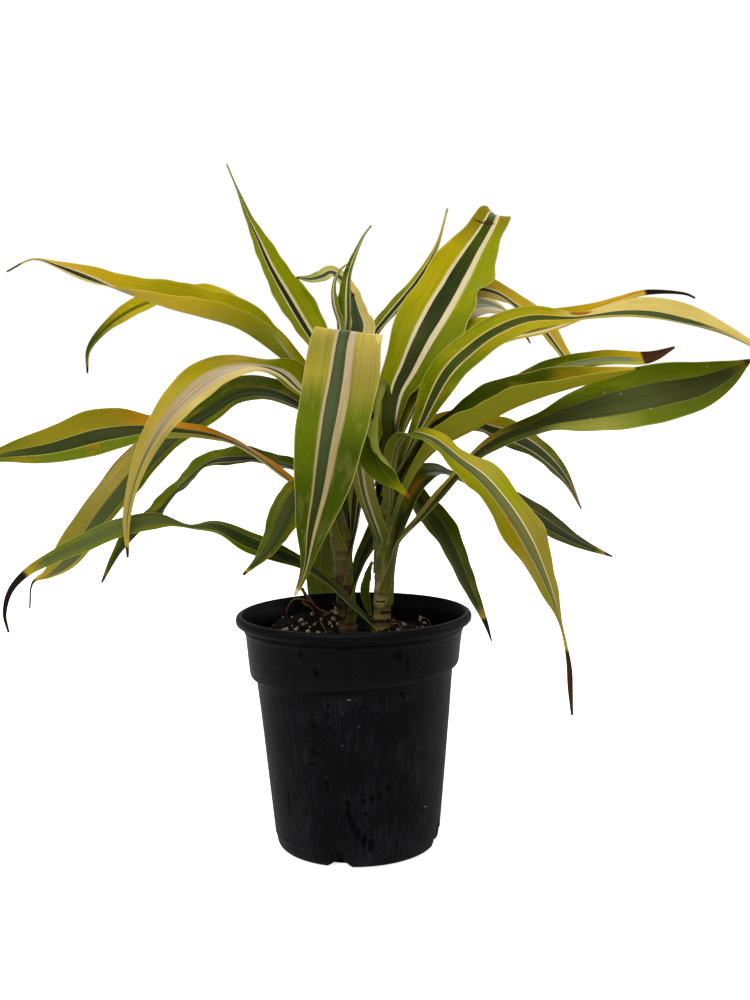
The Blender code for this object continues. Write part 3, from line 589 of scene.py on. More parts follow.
def makeCane(name):
    sides = caneLook["sides"]
    heights = np.arange(caneLook["buried"], canes[name]["path"][-1][2] + 0.01, caneLook["step"])
    points = []
    for height in heights:
        middle = caneMiddle(name, height)
        for k in range(sides):
            x, y = math.cos(tau * k / sides), math.sin(tau * k / sides)
            wobble = 1.6 * noise.noise(Vector((x, y, height * 0.05)))
            radius = caneRadius(name, height + wobble)
            radius += 0.35 * noise.noise(Vector((x * 1.5, y * 1.5, height * 0.12 + 7)))
            points.append((middle[0] + radius * x, middle[1] + radius * y, height))
    faces = tubeFaces(len(heights), sides)
    return addPiece("cane" + name.title(), points, faces, caneSurface(name), "stem_" + name, "cane")


fringeLook = dict(count=14, thickness=0.3, clear=0.25, seed=5)
fringes = [  # dry sheath remnants: cane, height, turn in degrees, height of the flap, width, lean outward
    ("right", 152, 260, 1.8, 13.0, 0.9), ("right", 153, 330, 2.6, 9.0, 1.4),
    ("right", 158, 345, 3.0, 7.0, 1.6), ("right", 159, 268, 1.6, 14.0, 0.8),
    ("right", 165, 300, 1.8, 10.0, 0.7), ("right", 173, 262, 1.0, 9.0, 0.4),
    ("left", 158, 210, 5.0, 8.0, 2.2), ("left", 166, 200, 6.0, 8.0, 2.0),
    ("left", 172, 280, 2.0, 12.0, 0.8), ("left", 182, 205, 7.0, 7.0, 1.6),
    ("left", 182, 262, 2.0, 11.0, 0.5), ("left", 162, 310, 2.6, 10.0, 1.2),
    ("right", 168, 120, 3.0, 10.0, 0.8), ("left", 176, 100, 3.0, 10.0, 0.8),
]


def makeFringes():
    chance = random.Random(fringeLook["seed"])
    count = fringeLook["count"]
    shapes = []
    for name, height, turn, tall, wide, lean in fringes:
        middle = caneMiddle(name, height)
        radius = caneRadius(name, height) + fringeLook["clear"]
        inner, outer = [], []
        for k in range(count + 1):
            share = k / count
            angle = math.radians(turn) + (share - 0.5) * wide / radius
            lift = tall * (0.35 + 0.65 * math.sin(math.pi * share) ** 0.5) * chance.uniform(0.25, 1.0)
            topLean = lean * chance.uniform(0.6, 1.6)
            for up, out in ((-0.6, 0.0), (lift * 0.5, lean * 0.5), (lift, topLean)):
                for side, reach in ((inner, radius + out), (outer, radius + out + fringeLook["thickness"])):
                    side.append([middle[0] + reach * math.cos(angle), middle[1] + reach * math.sin(angle),
                                 height + up])
        start = len(inner)
        faces = []
        for k in range(count):
            for row in range(2):
                a, b = 3 * k + row, 3 * k + row + 3
                faces += [[a, a + 1, b + 1, b], [start + a, start + b, start + b + 1, start + a + 1]]
            faces += [[3 * k, 3 * k + 3, start + 3 * k + 3, start + 3 * k],
                      [3 * k + 2, start + 3 * k + 2, start + 3 * k + 5, 3 * k + 5]]
        for k in (0, count):
            faces += [[3 * k + r, 3 * k + r + 1, start + 3 * k + r + 1, start + 3 * k + r] for r in (0, 1)]
        shapes.append((inner + outer, faces))
    skin = plainGrit("drySheath", "rootBrown", "darkStem", 0.8)
    addPiece("sheathFringes", *gather(shapes), skin, slot="cane")


for caneName in canes:
    makeCane(caneName)
makeFringes()
print("canes made")


# Leaves

leafShape = dict(stations=150, across=22, thickness=0.7, edgeThickness=0.35, thread=0.4, baseCurl=45.0,
                 opensBy=0.25, gap=0.35, scallop=0.02, groove=0.35, pleats=0.10, pleatCount=7, fineWave=0.35,
                 sheath=22.0, claspTop=8.0, claspFoot=15.0, claspSink=0.8, claspEase=12.0)
leafPaint = dict(roughness=0.36, glint=0.09, through=0.35, throughDepth=0.0012, throughTint=(1.0, 0.9, 0.15),
                 greenLines=0.34, goldLines=0.22, bandLines=0.40, underPaint=0.8, underPale=0.16, relief=0.5)
plainLeaf = dict(  # what a leaf's row may leave out
    roll=(0, 0), right=(8, 8), left=(8, 8), wave=1.2, waves=4.0, clasp=leafShape["sheath"],
    curl=((12, 12), (12, 12)), scallop=(1, 1), other=None, band="cream", stripe="leafGreen", stripeHalf=0.16,
    bandHalf=0.34, shift=0.0, under=None, underFrom=0.0, tip=0.965, tipShade="deadBrown", patches=0.25,
    patchShade="gold", scars=(), lines=0.5, drops=0.0)


# A row gives the leaf's cane, the height where it leaves the cane, the way it faces in degrees from +X
# towards +Y, and the points that its midrib passes through. The lists are spread evenly from base to tip:
# widths, roll about the midrib (right-hand edge down), right and left (how far each half is lifted) and curl
# (how far the right-hand and the left-hand margin turn up beyond that). scallop is how wavy those two margins
# are, and clasp how far the sheath runs down the cane.
# margin is the right-hand one, seen from the base with the upper face up, and other the left-hand one. Both,
# and band, stripe and under, take a palette name or a list of (share of the length, name). stripeHalf and
# bandHalf are shares of the half width, and bandHalf may be a (right, left) pair. shift moves the stripe to
# the right, and may be a (base, tip) pair. scars are (along, across, half length, half width, name).
def leaf(cane, height, azimuth, path, **own):
    return dict(plainLeaf, cane=cane, height=height, azimuth=azimuth, path=path, **own)


leaves = {
    # Long leaf to the upper left, its near half folded up
    "leaf_left_01": leaf(
        "left", 312, 190,
        [(-34, 9, 332), (-74, 4, 363), (-100, -3, 372), (-118, -10, 377), (-135, -13, 383),
         (-155, -16, 391), (-171, -19, 399), (-192, -23, 407), (-208, -25, 411), (-225, -28, 403)],
        widths=(10, 16, 30, 42, 46, 43, 35, 25, 12, 2.5, 1.4), roll=(-10, -30, -45, -45, -45, -45),
        right=(10, 15, 15, 10, 0), left=(20, 45, 60, 68, 68, 66, 60, 35, 0, 0, 0),
        margin=[(0.3, "lime"), (0.42, "limeGold"), (0.6, "limeGold"), (0.75, "gold"), (1.0, "tan")],
        band=[(0.2, "cream"), (0.3, "limeGold"), (0.6, "limeGold"), (0.66, "cream")],
        stripe=[(0, "leafGreen"), (0.16, "lime"), (0.38, "limeGold"), (0.54, "gold"), (0.60, "darkOlive")],
        stripeHalf=0.34, bandHalf=0.5, shift=(-0.4, -0.36), tip=0.955, patches=0.3, underFrom=0.22,
        drops=0.1,
        # the near half's underside: partly its own gold, partly painted light, brighter than the leaf's
        # colour where light falls on it
        under=[(0, "lime"), (0.28, "brightLime"), (0.5, "brightGold"), (0.62, "brightGold"),
               (0.66, "tan")]),
    # Drooper behind it
    "leaf_left_02": leaf(
        "left", 306, 148,
        [(-35, 29, 338), (-62, 47, 366), (-79, 57, 378), (-97, 68, 387), (-113, 78, 391), (-133, 91, 390),
         (-157, 105, 385), (-178, 118, 376), (-195, 129, 364), (-206, 136, 351), (-208, 138, 334)],
        widths=(9, 11, 13, 16, 19, 20, 20, 17, 10, 2), roll=(0, -20, -35, -60, -75),
        margin=[(0, "lime"), (0.4, "gold"), (0.5, "limeGold"), (0.75, "limeGold"), (0.9, "leafGreen")],
        stripe=[(0, "leafGreen"), (0.45, "lime"), (0.6, "oliveGold"), (0.85, "leafGreen")],
        band=[(0, "cream"), (0.4, "lime"), (0.7, "oliveGold"), (0.85, "leafGreen")], bandHalf=0.22,
        stripeHalf=0.12, tip=0.98, tipShade="deadBlack"),
    # Upright sword at the upper left
    "leaf_left_03": leaf(
        "left", 322, 155,
        [(-19, 19, 345), (-27, 24, 357), (-39, 31, 377), (-56, 40, 408), (-64, 45, 427), (-72, 49, 445),
         (-78, 53, 462), (-86, 57, 482)],
        widths=(9, 18, 30, 36, 36, 30, 22, 14, 7, 2, 1.4), roll=(-10, -10, -5), right=(22, 22), left=(6, 4),
        wave=0.6,
        margin=[(0.6, "lime"), (1, "midGreen")], stripe="deepGreen", stripeHalf=0.14, bandHalf=0.26,
        patches=0.08, tip=0.985, tipShade="paleGrey", lines=0.1),
    # Back leaf that bends over to the left
    "leaf_left_04": leaf(
        "left", 332, (85, 110, 170, 200),
        [(2, 24, 352), (6, 34, 364), (4, 42, 374), (1, 48, 387), (-5, 52, 398), (-12, 50, 403),
         (-19, 44, 400), (-27, 36, 398), (-36, 28, 399)],
        widths=(12, 20, 26, 26, 24, 20, 18, 15, 12, 7, 1.6), roll=(0, 0, 0, -40, -60), wave=0.4,
        margin=[(0.6, "straw"), (0.8, "paleLime"), (1, "lime")], stripe="greyGreen", stripeHalf=0.34,
        bandHalf=0.46, patches=0.1, tip=0.985, scars=[(0.55, 0, 0.02, 0.5, "deadBrown")]),
    # Two young leaves in the middle
    "leaf_left_05": leaf(
        "left", 336, (165, 190, 215),
        [(-7, 19, 364), (-11, 22, 380), (-11, 24, 392), (-8, 25, 401), (-3, 24, 406), (1, 22, 408)],
        widths=(10, 15, 17, 16, 13, 8, 4, 1.6), right=(20, 20), left=(20, 20), wave=0.3,
        margin="midGreen", stripe="deepGreen", stripeHalf=0.22, bandHalf=0.5, patches=0.0, tip=0.985),
    "leaf_left_06": leaf(
        "left", 340, 40,
        [(1, 18, 369), (1, 22, 385), (2, 25, 400), (6, 27, 413), (12, 29, 427), (17, 30, 434)],
        widths=(10, 16, 18, 17, 13, 8, 4, 1.6), right=(30, 30), left=(30, 30), wave=0.3,
        margin="midGreen", stripe="greyOlive", stripeHalf=0.25, bandHalf=0.42, patches=0.0, tip=0.985),
    # Tall thin leaf from low on the left cane, behind the broad upright one
    "leaf_left_07": leaf(
        "left", 205, (25, 40, 58, 58),
        [(3, 19, 224), (6, 20, 242), (9, 22, 263), (9, 24, 300), (9, 32, 335), (16, 45, 355),
         (26, 60, 368), (37, 78, 381), (53, 100, 401), (67, 122, 425), (77, 143, 457)],
        widths=(10, 14, 16, 15, 13, 14, 16, 15, 12, 8, 3, 1.6), right=(16, 16), left=(16, 16), wave=0.6,
        margin=[(0.4, "darkOlive"), (0.6, "midGreen"), (0.8, "lime"), (1, "gold")], stripe="deepGreen",
        stripeHalf=0.3, bandHalf=0.4, tip=0.985, tipShade="paleGrey"),
    # Pale arch to the left that hangs
    "leaf_left_08": leaf(
        "left", 296, 200,
        [(-34, -4, 322), (-45, -9, 333), (-59, -14, 338), (-75, -19, 338), (-92, -26, 333),
         (-110, -34, 319), (-129, -42, 294), (-141, -48, 267), (-147, -52, 240), (-147, -54, 214)],
        widths=(12, 19, 27, 11, 17, 24, 22, 17, 12, 8, 5, 1.6), roll=(-10, -50, -70, -70, -60, -50),
        right=(10, 35, 40, 0, 0, 0, 0, 0), left=(10, 0, 0),
        margin=[(0.24, "lime"), (0.33, "goldTan"), (0.45, "limeGold"), (0.62, "goldTan"),
                (0.78, "tanOlive")],
        other=[(0, "lime"), (0.22, "midGreen"), (0.29, "straw"), (0.5, "straw"), (0.65, "tanOlive")],
        band=[(0.3, "cream"), (0.5, "pinkCream"), (0.8, "tanOlive")],
        stripe=[(0.26, "deepGreen"), (0.31, "cream"), (0.55, "pinkCream"), (0.72, "oliveGrey")],
        stripeHalf=0.12, bandHalf=0.42, shift=-0.2, tip=0.97, lines=0.6),
    # Dark arch behind it to the far left
    "leaf_left_09": leaf(
        "left", 282, 168,
        [(-23, 15, 299), (-41, 19, 313), (-58, 23, 320), (-78, 27, 320), (-98, 32, 310), (-119, 36, 297),
         (-141, 40, 280), (-164, 46, 259), (-188, 51, 232), (-208, 55, 206), (-226, 57, 188),
         (-238, 58, 181), (-242, 61, 161)],
        widths=(12, 20, 26, 28, 28, 28, 30, 32, 32, 30, 25, 4, 1.4), roll=(0, -45, -60, -65, -65),
        right=(5, -4, -4), left=(5, -4, -4),
        margin=[(0.40, "leafGreen"), (0.5, "oliveTan"), (0.62, "tanOlive"), (0.75, "oliveTan"),
                (0.9, "oliveTan"), (1, "tan")],
        other=[(0, "leafGreen"), (0.6, "midGreen"), (0.8, "oliveTan"), (1, "tan")],
        band=[(0, "cream"), (0.25, "leafGreen"), (0.5, "oliveGrey"), (0.8, "tanOlive")],
        stripe=[(0.4, "deepGreen"), (0.6, "greyOlive"), (1, "stripeGrey")], stripeHalf=0.34, bandHalf=0.41,
        shift=(-0.1, -0.5), tip=0.925, tipShade="deadBlack", lines=0.8,
        scars=[(0.60, 0.98, 0.07, 0.07, "russet")]),
    # Wavy leaf to the left
    "leaf_left_10": leaf(
        "left", 244, 148,
        [(-24, 22, 255), (-39, 31, 264), (-58, 43, 269), (-82, 58, 271), (-106, 73, 267), (-127, 86, 251),
         (-150, 101, 228), (-179, 119, 204), (-191, 127, 187), (-202, 133, 168)],
        widths=(10, 14, 16, 20, 22, 22, 20, 17, 11, 2), roll=(0, -30, -45, -60, -75), wave=1.6, waves=6,
        margin=[(0, "leafGreen"), (0.5, "midGreen"), (0.8, "leafGreen")], other="deepGreen",
        band=[(0, "oliveGrey"), (0.4, "cream"), (0.6, "oliveGrey"), (0.8, "deepGreen")], stripe="deepGreen",
        stripeHalf=0.34, bandHalf=(0.36, 0.40), shift=-0.25, tip=0.975, lines=0.3),
    # Orange to green, far left
    "leaf_left_11": leaf(
        "left", 229, 184,
        [(-22, 10, 240), (-38, 9, 253), (-58, 8, 270), (-77, 6, 283), (-97, 5, 291), (-118, 3, 295),
         (-142, 2, 297), (-173, -1, 295), (-207, -3, 286), (-241, -5, 280), (-272, -7, 270)],
        widths=(10, 12, 12, 12, 13, 22, 32, 33, 24, 9, 1.4), roll=(0, -20, -30, -60, -62, -62),
        right=(5, -5, -5), left=(5, -5, -5),
        margin=[(0, "gold"), (0.15, "orange"), (0.50, "orange"), (0.60, "oliveGold"),
                (0.78, "oliveGold"), (0.88, "midGreen"), (1, "leafGreen")],
        other=[(0, "gold"), (0.3, "tanOlive"), (0.55, "midGreen")], band=[(0, "tan"), (0.5, "paleLime")],
        stripe=[(0, "darkOlive"), (0.8, "deepGreen"), (0.95, "greyOlive")], stripeHalf=0.28, bandHalf=0.31,
        shift=-0.18, tip=0.975, patchShade="orange", patches=0.3),
    # Short broad drooper under the left crown
    "leaf_left_12": leaf(
        "left", 236, 222,
        [(-24, -4, 248), (-31, -10, 253), (-38, -16, 247), (-44, -22, 236), (-51, -29, 222),
         (-60, -36, 210), (-72, -47, 200)],
        widths=(12, 20, 26, 27, 24, 17, 8, 2), roll=(0, -20, -20), wave=1.0,
        margin=[(0, "leafGreen"), (0.13, "orange"), (0.2, "oliveGold"), (0.3, "leafGreen")],
        band="darkOlive", stripe=[(0, "deepGreen"), (0.7, "darkOlive")], stripeHalf=0.4, bandHalf=0.44,
        patches=0.15, patchShade="orange", tip=0.97),
    # Drooper behind the pot
    "leaf_left_13": leaf(
        "left", 240, 104,
        [(-8, 40, 264), (-9, 70, 270), (-14, 100, 245), (-20, 118, 200), (-24, 126, 150), (-26, 128, 95)],
        widths=(10, 20, 32, 38, 38, 36, 30, 16, 2),
        margin=[(0, "midGreen"), (0.5, "leafGreen")], band="oliveGrey", stripeHalf=0.3, tip=0.97),
    # Broad upright leaf with its tip folded over
    "leaf_right_01": leaf(
        "right", 290, 52,
        [(31, 12, 306), (34, 15, 319), (42, 16, 334), (52, 21, 354), (62, 32, 370), (72, 47, 386),
         (81, 62, 401), (91, 78, 417), (101, 91, 432), (107, 100, 442), (110, 106, 447.5),
         (112, 112, 448), (112, 119, 443)],
        widths=(12, 24, 36, 43, 48, 52, 52, 49, 44, 38, 32, 27, 20), roll=(0, 15, 25, 25, 25), right=(8, 6),
        left=(8, 6), wave=2.4, waves=3.0, scallop=(3.0, 0.6),
        margin=[(0, "leafGreen"), (0.3, "midGreen"), (0.5, "lime"), (0.8, "lime"), (0.9, "oliveGold")],
        other=[(0, "midGreen"), (0.3, "lime"), (0.5, "limeGold"), (0.72, "limeGold"), (0.85, "oliveGold")],
        stripe=[(0.6, "deepGreen"), (0.78, "leafGreen"), (0.90, "leafGreen"), (0.93, "stripeGrey")],
        stripeHalf=0.22, bandHalf=(0.42, 0.32), shift=-0.06, tip=0.995, tipShade="lime", patches=0.15,
        lines=0.3, under=[(0, "paleGrey"), (1, "paleLime")],
        scars=[(0.885, -0.05, 0.012, 0.30, "deadBrown"), (0.875, -0.45, 0.005, 0.45, "deadBrown")]),
    # Broad front leaf, folded over at the top
    "leaf_right_02": leaf(
        "right", 214, 250,
        [(14, -6, 234), (9, -9, 252), (4, -16, 300), (2, -24, 337), (2, -34, 356), (1, -44, 360),
         (-1, -54, 353), (-6, -66, 322), (-12, -76, 292), (-18, -84, 259), (-24, -88, 234),
         (-28, -88, 212), (-32, -86, 200), (-36, -84, 192)],
        widths=(12, 14, 16, 17, 19, 30, 43, 47, 49, 51, 46, 37, 25, 9, 2), wave=1.0, scallop=(0.8, 1.6),
        roll=(0, 0, -4, -8, -8, -4, 0, 0), right=(6, -5, -8, -6, 0), left=(6, -5, -8, -6, 0),
        margin=[(0, "leafGreen"), (0.40, "tan"), (0.46, "goldTan"), (0.50, "oliveTan"),
                (0.57, "tanLime"), (0.62, "midGreen"), (0.68, "midGreen"), (0.82, "leafGreen")],
        other=[(0, "leafGreen"), (0.40, "straw"), (0.47, "goldTan"), (0.54, "tanOlive"),
               (0.59, "oliveTan"), (0.65, "midGreen"), (0.72, "leafGreen")],
        band=[(0, "cream"), (0.42, "pinkCream"), (0.60, "pinkCream"), (0.72, "bandTan")],
        stripe=[(0, "darkOlive"), (0.38, "stripeGrey"), (0.44, "stripeGrey"), (0.48, "greyGreen"),
                (0.65, "greyGreen"), (0.85, "darkOlive")],
        stripeHalf=0.17, bandHalf=(0.25, 0.37), shift=(0.12, 0.07), tip=0.985, tipShade="cream",
        patches=0.10, drops=0.12, patchShade="straw",
        scars=[(0.455, -0.74, 0.022, 0.20, "cream"), (0.475, -0.92, 0.03, 0.12, "straw")]),
    # Small curled leaf beside it
    "leaf_right_03": leaf(
        "right", 276, 280,
        [(25, -12, 302), (26, -25, 320), (23, -35, 320), (19, -41, 311), (17, -44, 300), (16, -45, 290),
         (17, -45, 280), (22, -46, 270), (29, -46, 260), (39, -46, 250)],
        widths=(8, 7, 7, 7, 8, 15, 24, 26, 28, 28, 20, 7, 2), right=(20, 10, 0), scallop=(1, 16),
        left=(20, 20, 15, 20, 35, 45, 45, 40, 30, 10, 0), wave=1.6, waves=5,
        curl=((12, 12), (12, 12, 12, 30, 110, 145, 145, 140, 120, 60, 12)),
        margin=[(0, "leafGreen"), (0.5, "midGreen"), (0.88, "midGreen"), (0.93, "lime")],
        under=[(0.36, "darkOlive"), (0.42, "leafGreen"), (0.47, "paleLime")], stripe="paleLime",
        band="midGreen", stripeHalf=0.045, bandHalf=0.06, shift=0.06, tip=0.975, tipShade="russet",
        patches=0.0, lines=0.0),
    # Long front arch to the right, pale past its twist
    "leaf_right_04": leaf(
        "right", 256, -8,
        [(36, -1, 269), (48, -6, 294), (67, -7, 331), (84, -5, 347), (100, -8, 358), (122, -11, 366),
         (152, -15, 366), (178, -18, 368), (200, -21, 367), (234, -26, 359), (252, -29, 353),
         (267, -30, 346), (296, -35, 332)],
        widths=(13, 16, 22, 28, 28, 26, 22, 15, 9, 21, 29, 26, 14, 6, 1.6),
        roll=(10, 40, 60, 60, 55, 60, 60, 60), right=(0, 0, 0, 10, 45, 55, 50), left=(0, 0),
        margin=[(0, "leafGreen"), (0.3, "midGreen"), (0.46, "limeGold"), (0.6, "limeGold"),
                (0.9, "brightLime"), (1, "lime")],
        other=[(0, "leafGreen"), (0.2, "midGreen"), (0.38, "lime"), (0.5, "limeGold"), (0.56, "straw"),
               (0.9, "straw"), (1, "lime")],
        band=[(0, "cream"), (0.5, "tan"), (0.6, "straw")],
        stripe=[(0, "deepGreen"), (0.5, "leafGreen"), (0.56, "greyGreen"), (0.8, "greyGreen"),
                (0.88, "straw")],
        stripeHalf=0.25, bandHalf=0.33, tip=0.985, scars=[(0.56, -0.80, 0.025, 0.35, "scarBrown")]),
    # Lime leaf behind it with a dead black tip
    "leaf_right_05": leaf(
        "right", 268, 12,
        [(35, 5, 286), (46, 10, 312), (65, 19, 346), (80, 21, 354), (106, 24, 359), (138, 29, 365),
         (168, 36, 372), (194, 41, 380), (212, 45, 385), (242, 51, 384), (250, 53, 381)],
        widths=(12, 12, 15, 22, 25, 25, 22, 18, 12, 8, 5, 3, 1.6), roll=(0, 40, 60, 65, 65), right=(4, 4),
        left=(4, 4),
        margin=[(0, "leafGreen"), (0.3, "lime"), (0.6, "gold"), (0.8, "orange")],
        other=[(0, "leafGreen"), (0.25, "brightLime"), (0.5, "limeGold"), (0.7, "gold"), (1, "orange")],
        stripe=[(0, "deepGreen"), (0.5, "leafGreen"), (0.7, "gold")], stripeHalf=0.2, bandHalf=0.38,
        shift=0.45, tip=0.86, tipShade="deadBlack"),
    # Yellow arch at the back
    "leaf_right_06": leaf(
        "right", 282, 50,
        [(33, 19, 300), (40, 33, 326), (55, 56, 364), (73, 70, 386), (92, 80, 391), (110, 90, 388),
         (125, 100, 379), (139, 112, 369), (152, 124, 357), (165, 137, 342), (189, 159, 315)],
        widths=(12, 14, 15, 19, 22, 25, 30, 34, 34, 20, 2), roll=(0, 10, 40, 60, 65),
        margin=[(0, "leafGreen"), (0.3, "gold"), (0.7, "limeGold")],
        other=[(0, "leafGreen"), (0.3, "gold")], band="straw", stripe="deepGreen", bandHalf=0.30, tip=0.98,
        patches=0.3, patchShade="orange", scars=[(0.42, -0.3, 0.045, 0.25, "scarBrown")]),
    # Pale leaf behind that
    "leaf_right_07": leaf(
        "right", 274, 78,
        [(33, 26, 300), (42, 46, 333), (62, 65, 361), (83, 97, 378), (106, 133, 382), (128, 166, 374),
         (146, 190, 352)],
        widths=(12, 14, 24, 32, 34, 32, 24, 14, 2), roll=(0, 20, 40, 45),
        margin=[(0, "paleLime"), (0.4, "straw")], stripe="paleGrey", stripeHalf=0.4, bandHalf=0.5,
        tip=0.97),
    # Leaf with a brown triangular tip
    "leaf_right_08": leaf(
        "right", 242, 18,
        [(43, 12, 268), (63, 20, 289), (92, 28, 309), (118, 35, 320), (144, 43, 331), (164, 50, 336),
         (189, 58, 339), (214, 66, 338), (225, 70, 340), (240, 74, 346)],
        widths=(12, 12, 11, 11, 14, 16, 16, 15, 14, 12, 10, 1.6), roll=(0, 40, 55, 60), right=(5, 5),
        left=(5, 5),
        margin=[(0, "leafGreen"), (0.7, "greyOlive"), (0.8, "paleLime")],
        other=[(0, "leafGreen"), (0.7, "midGreen"), (0.85, "gold")], band="paleLime",
        stripe=[(0, "greyOlive"), (0.6, "paleGrey")], stripeHalf=0.3, bandHalf=0.42, tip=0.89, shift=0.2),
    # Lime trough-shaped leaf
    "leaf_right_09": leaf(
        "right", 226, -10,
        [(46, -1, 264), (63, -4, 281), (71, -6, 285), (89, -9, 294), (109, -12, 305), (129, -16, 313),
         (149, -19, 319), (168, -22, 324), (189, -26, 330), (195, -27, 332)],
        widths=(12, 14, 20, 36, 46, 46, 40, 30, 18, 2), roll=(0, 15, 20, 20), right=(20, 50, 50, 45, 40),
        left=(20, 50, 55, 55, 40),
        margin=[(0, "leafGreen"), (0.35, "lime"), (1, "brightLime")],
        other=[(0, "deepGreen"), (0.45, "leafGreen"), (0.7, "leafGreen"), (1, "gold")],
        band=[(0, "cream"), (0.5, "gold")], stripe=[(0, "leafGreen"), (0.6, "gold")], bandHalf=0.36,
        tip=0.985, under=[(0, "leafGreen"), (0.3, "brightLime"), (1, "limeGold")]),
    # Big dark leaf to the right
    "leaf_right_10": leaf(
        "right", 200, -4,
        [(32, 1, 212), (49, 0, 231), (71, -1, 257), (88, -3, 275), (106, -4, 286), (122, -5, 292),
         (144, -6, 300), (178, -9, 308), (212, -11, 315), (238, -13, 320), (258, -14, 328),
         (272, -15, 336)],
        widths=(13, 14, 14, 13, 13, 13, 14, 18, 29, 38, 44, 44, 38, 24, 2),
        roll=(0, 20, 40, 55, 65, 62, 60), right=(5, -4, -4), left=(5, -4, -4),
        margin=[(0.48, "greyOlive"), (0.54, "paleLime"), (0.64, "paleLime"), (0.74, "midGreen"),
                (1, "leafGreen")],
        other=[(0, "greyOlive"), (0.3, "tan"), (0.45, "leafGreen"), (0.6, "midGreen"), (0.9, "midGreen"),
               (1, "leafGreen")],
        band=[(0, "paleLime"), (0.5, "oliveGrey")],
        stripe=[(0, "deepGreen"), (0.5, "darkOlive"), (0.68, "greyOlive"), (0.85, "darkOlive")],
        stripeHalf=0.40, bandHalf=0.43, shift=0.05, tip=0.985, patches=0.08, lines=0.9, drops=0.12),
    # Orange-topped leaf behind it
    "leaf_right_11": leaf(
        "right", 234, 40,
        [(46, 22, 277), (63, 33, 292), (86, 46, 293), (103, 55, 287), (122, 65, 280), (136, 74, 272),
         (150, 82, 260), (161, 89, 247), (174, 97, 224)],
        widths=(12, 12, 14, 20, 26, 28, 28, 23, 14, 2), roll=(0, 30, 60, 65),
        margin=[(0, "leafGreen"), (0.35, "lime"), (0.5, "leafGreen")],
        other=[(0, "leafGreen"), (0.25, "gold"), (0.5, "gold"), (0.62, "lime"), (0.75, "midGreen"),
               (1, "leafGreen")],
        stripe=[(0, "greyOlive"), (0.5, "deepGreen"), (1, "leafGreen")], stripeHalf=0.34, bandHalf=0.42,
        tip=0.985, patches=0.35, patchShade="orange"),
    # Low leaf behind the front right one
    "leaf_right_12": leaf(
        "right", 192, 38,
        [(30, 15, 211), (36, 21, 230), (40, 27, 243), (46, 33, 252), (54, 39, 258), (66, 46, 258),
         (78, 53, 252), (99, 67, 241), (126, 86, 227), (149, 101, 211), (175, 121, 195), (206, 145, 180)],
        widths=(12, 17, 22, 25, 26, 27, 28, 28, 25, 17, 8, 1.6), roll=(0, 20, 55, 60),
        margin="leafGreen",
        other=[(0.12, "leafGreen"), (0.25, "midGreen"), (0.38, "greyOlive"), (1, "deepGreen")],
        band=[(0, "leafGreen"), (0.3, "oliveGrey"), (0.5, "paleLime")],
        stripe=[(0, "darkOlive"), (0.14, "leafGreen"), (0.30, "leafGreen"), (0.38, "deepGreen")],
        stripeHalf=0.36, bandHalf=0.40, patches=0.12, patchShade="orange",
        scars=[(0.22, 0.1, 0.07, 0.55, "oliveGold"), (0.23, 0.15, 0.032, 0.26, "orange")]),
    # Long wavy leaf to the front right
    "leaf_right_13": leaf(
        "right", 232, 306,
        [(28, -11, 262), (32, -14, 282), (39, -19, 290), (54, -32, 287), (70, -46, 274), (86, -58, 261),
         (101, -69, 242), (112, -78, 223), (124, -86, 197), (132, -90, 174), (137, -94, 149),
         (138, -95, 130), (139, -96, 114)],
        widths=(10, 12, 14, 16, 18, 23, 28, 31, 31, 27, 16, 4, 3, 4, 1.6), roll=(0, 10, 15), right=(10, 8),
        left=(10, 8), wave=2.0, waves=6,
        margin=[(0, "leafGreen"), (0.26, "midGreen"), (0.38, "lime"), (0.6, "oliveGold"),
                (0.8, "oliveTan"), (1, "tan")],
        other=[(0, "leafGreen"), (0.22, "midGreen"), (0.29, "limeGold"), (0.40, "tanLime"),
               (0.5, "brightLime"), (0.6, "oliveTan"), (0.78, "oliveTan"), (1, "tan")],
        stripe=[(0, "leafGreen"), (0.3, "greyOlive"), (0.5, "oliveGrey"), (0.75, "oliveGrey"),
                (0.85, "greyOlive")],
        stripeHalf=0.24, bandHalf=(0.26, 0.30), shift=-0.05, tip=0.86, patches=0.14, patchShade="orange",
        lines=0.7, drops=0.08, scars=[(0.56, 0.12, 0.012, 0.09, "russet")]),
    # Drooper from the left cane that hangs at the right of the pot
    "leaf_right_14": leaf(
        "left", 178, 22,
        [(4, 24, 190), (8, 28, 200), (14, 32, 211), (23, 37, 226), (33, 40, 238), (42, 39, 243),
         (51, 32, 234), (62, 20, 218), (71, 8, 201), (81, -5, 178), (86, -10, 168), (91, -14, 157),
         (95, -16, 146)],
        widths=(10, 14, 17, 18, 20, 23, 28, 32, 31, 27, 22, 16, 9, 1.6), roll=(0, 35, 60, 55, 45), wave=0.8,
        margin="leafGreen", band=[(0, "paleGrey"), (0.5, "oliveGrey")],
        stripe=[(0, "deepGreen"), (0.3, "darkOlive")], stripeHalf=0.42, bandHalf=0.46, tip=0.92,
        tipShade="deadBlack", patches=0.1, lines=0.3),
    # Low leaf from the right cane's foot to the far left
    "leaf_right_15": leaf(
        "right", 153, 196,
        [(-1, -6, 170), (-19, -10, 190), (-39, -15, 204), (-69, -23, 218), (-91, -29, 230),
         (-107, -34, 231), (-127, -39, 236), (-153, -47, 233), (-175, -53, 224), (-194, -58, 216),
         (-211, -63, 207), (-222, -66, 195), (-226, -67, 180), (-224, -67, 168)],
        widths=(9, 12, 14, 16, 18, 19, 14, 4, 12, 15, 15, 10, 6, 4, 1.6), roll=(-15, -40, -50, -50),
        right=(0, 0), left=(0, 0),
        margin=[(0, "darkOlive"), (0.4, "leafGreen"), (0.6, "greyOlive"), (0.8, "midGreen")],
        other=[(0, "darkOlive"), (0.35, "leafGreen"), (0.5, "midGreen"), (1, "greyOlive")],
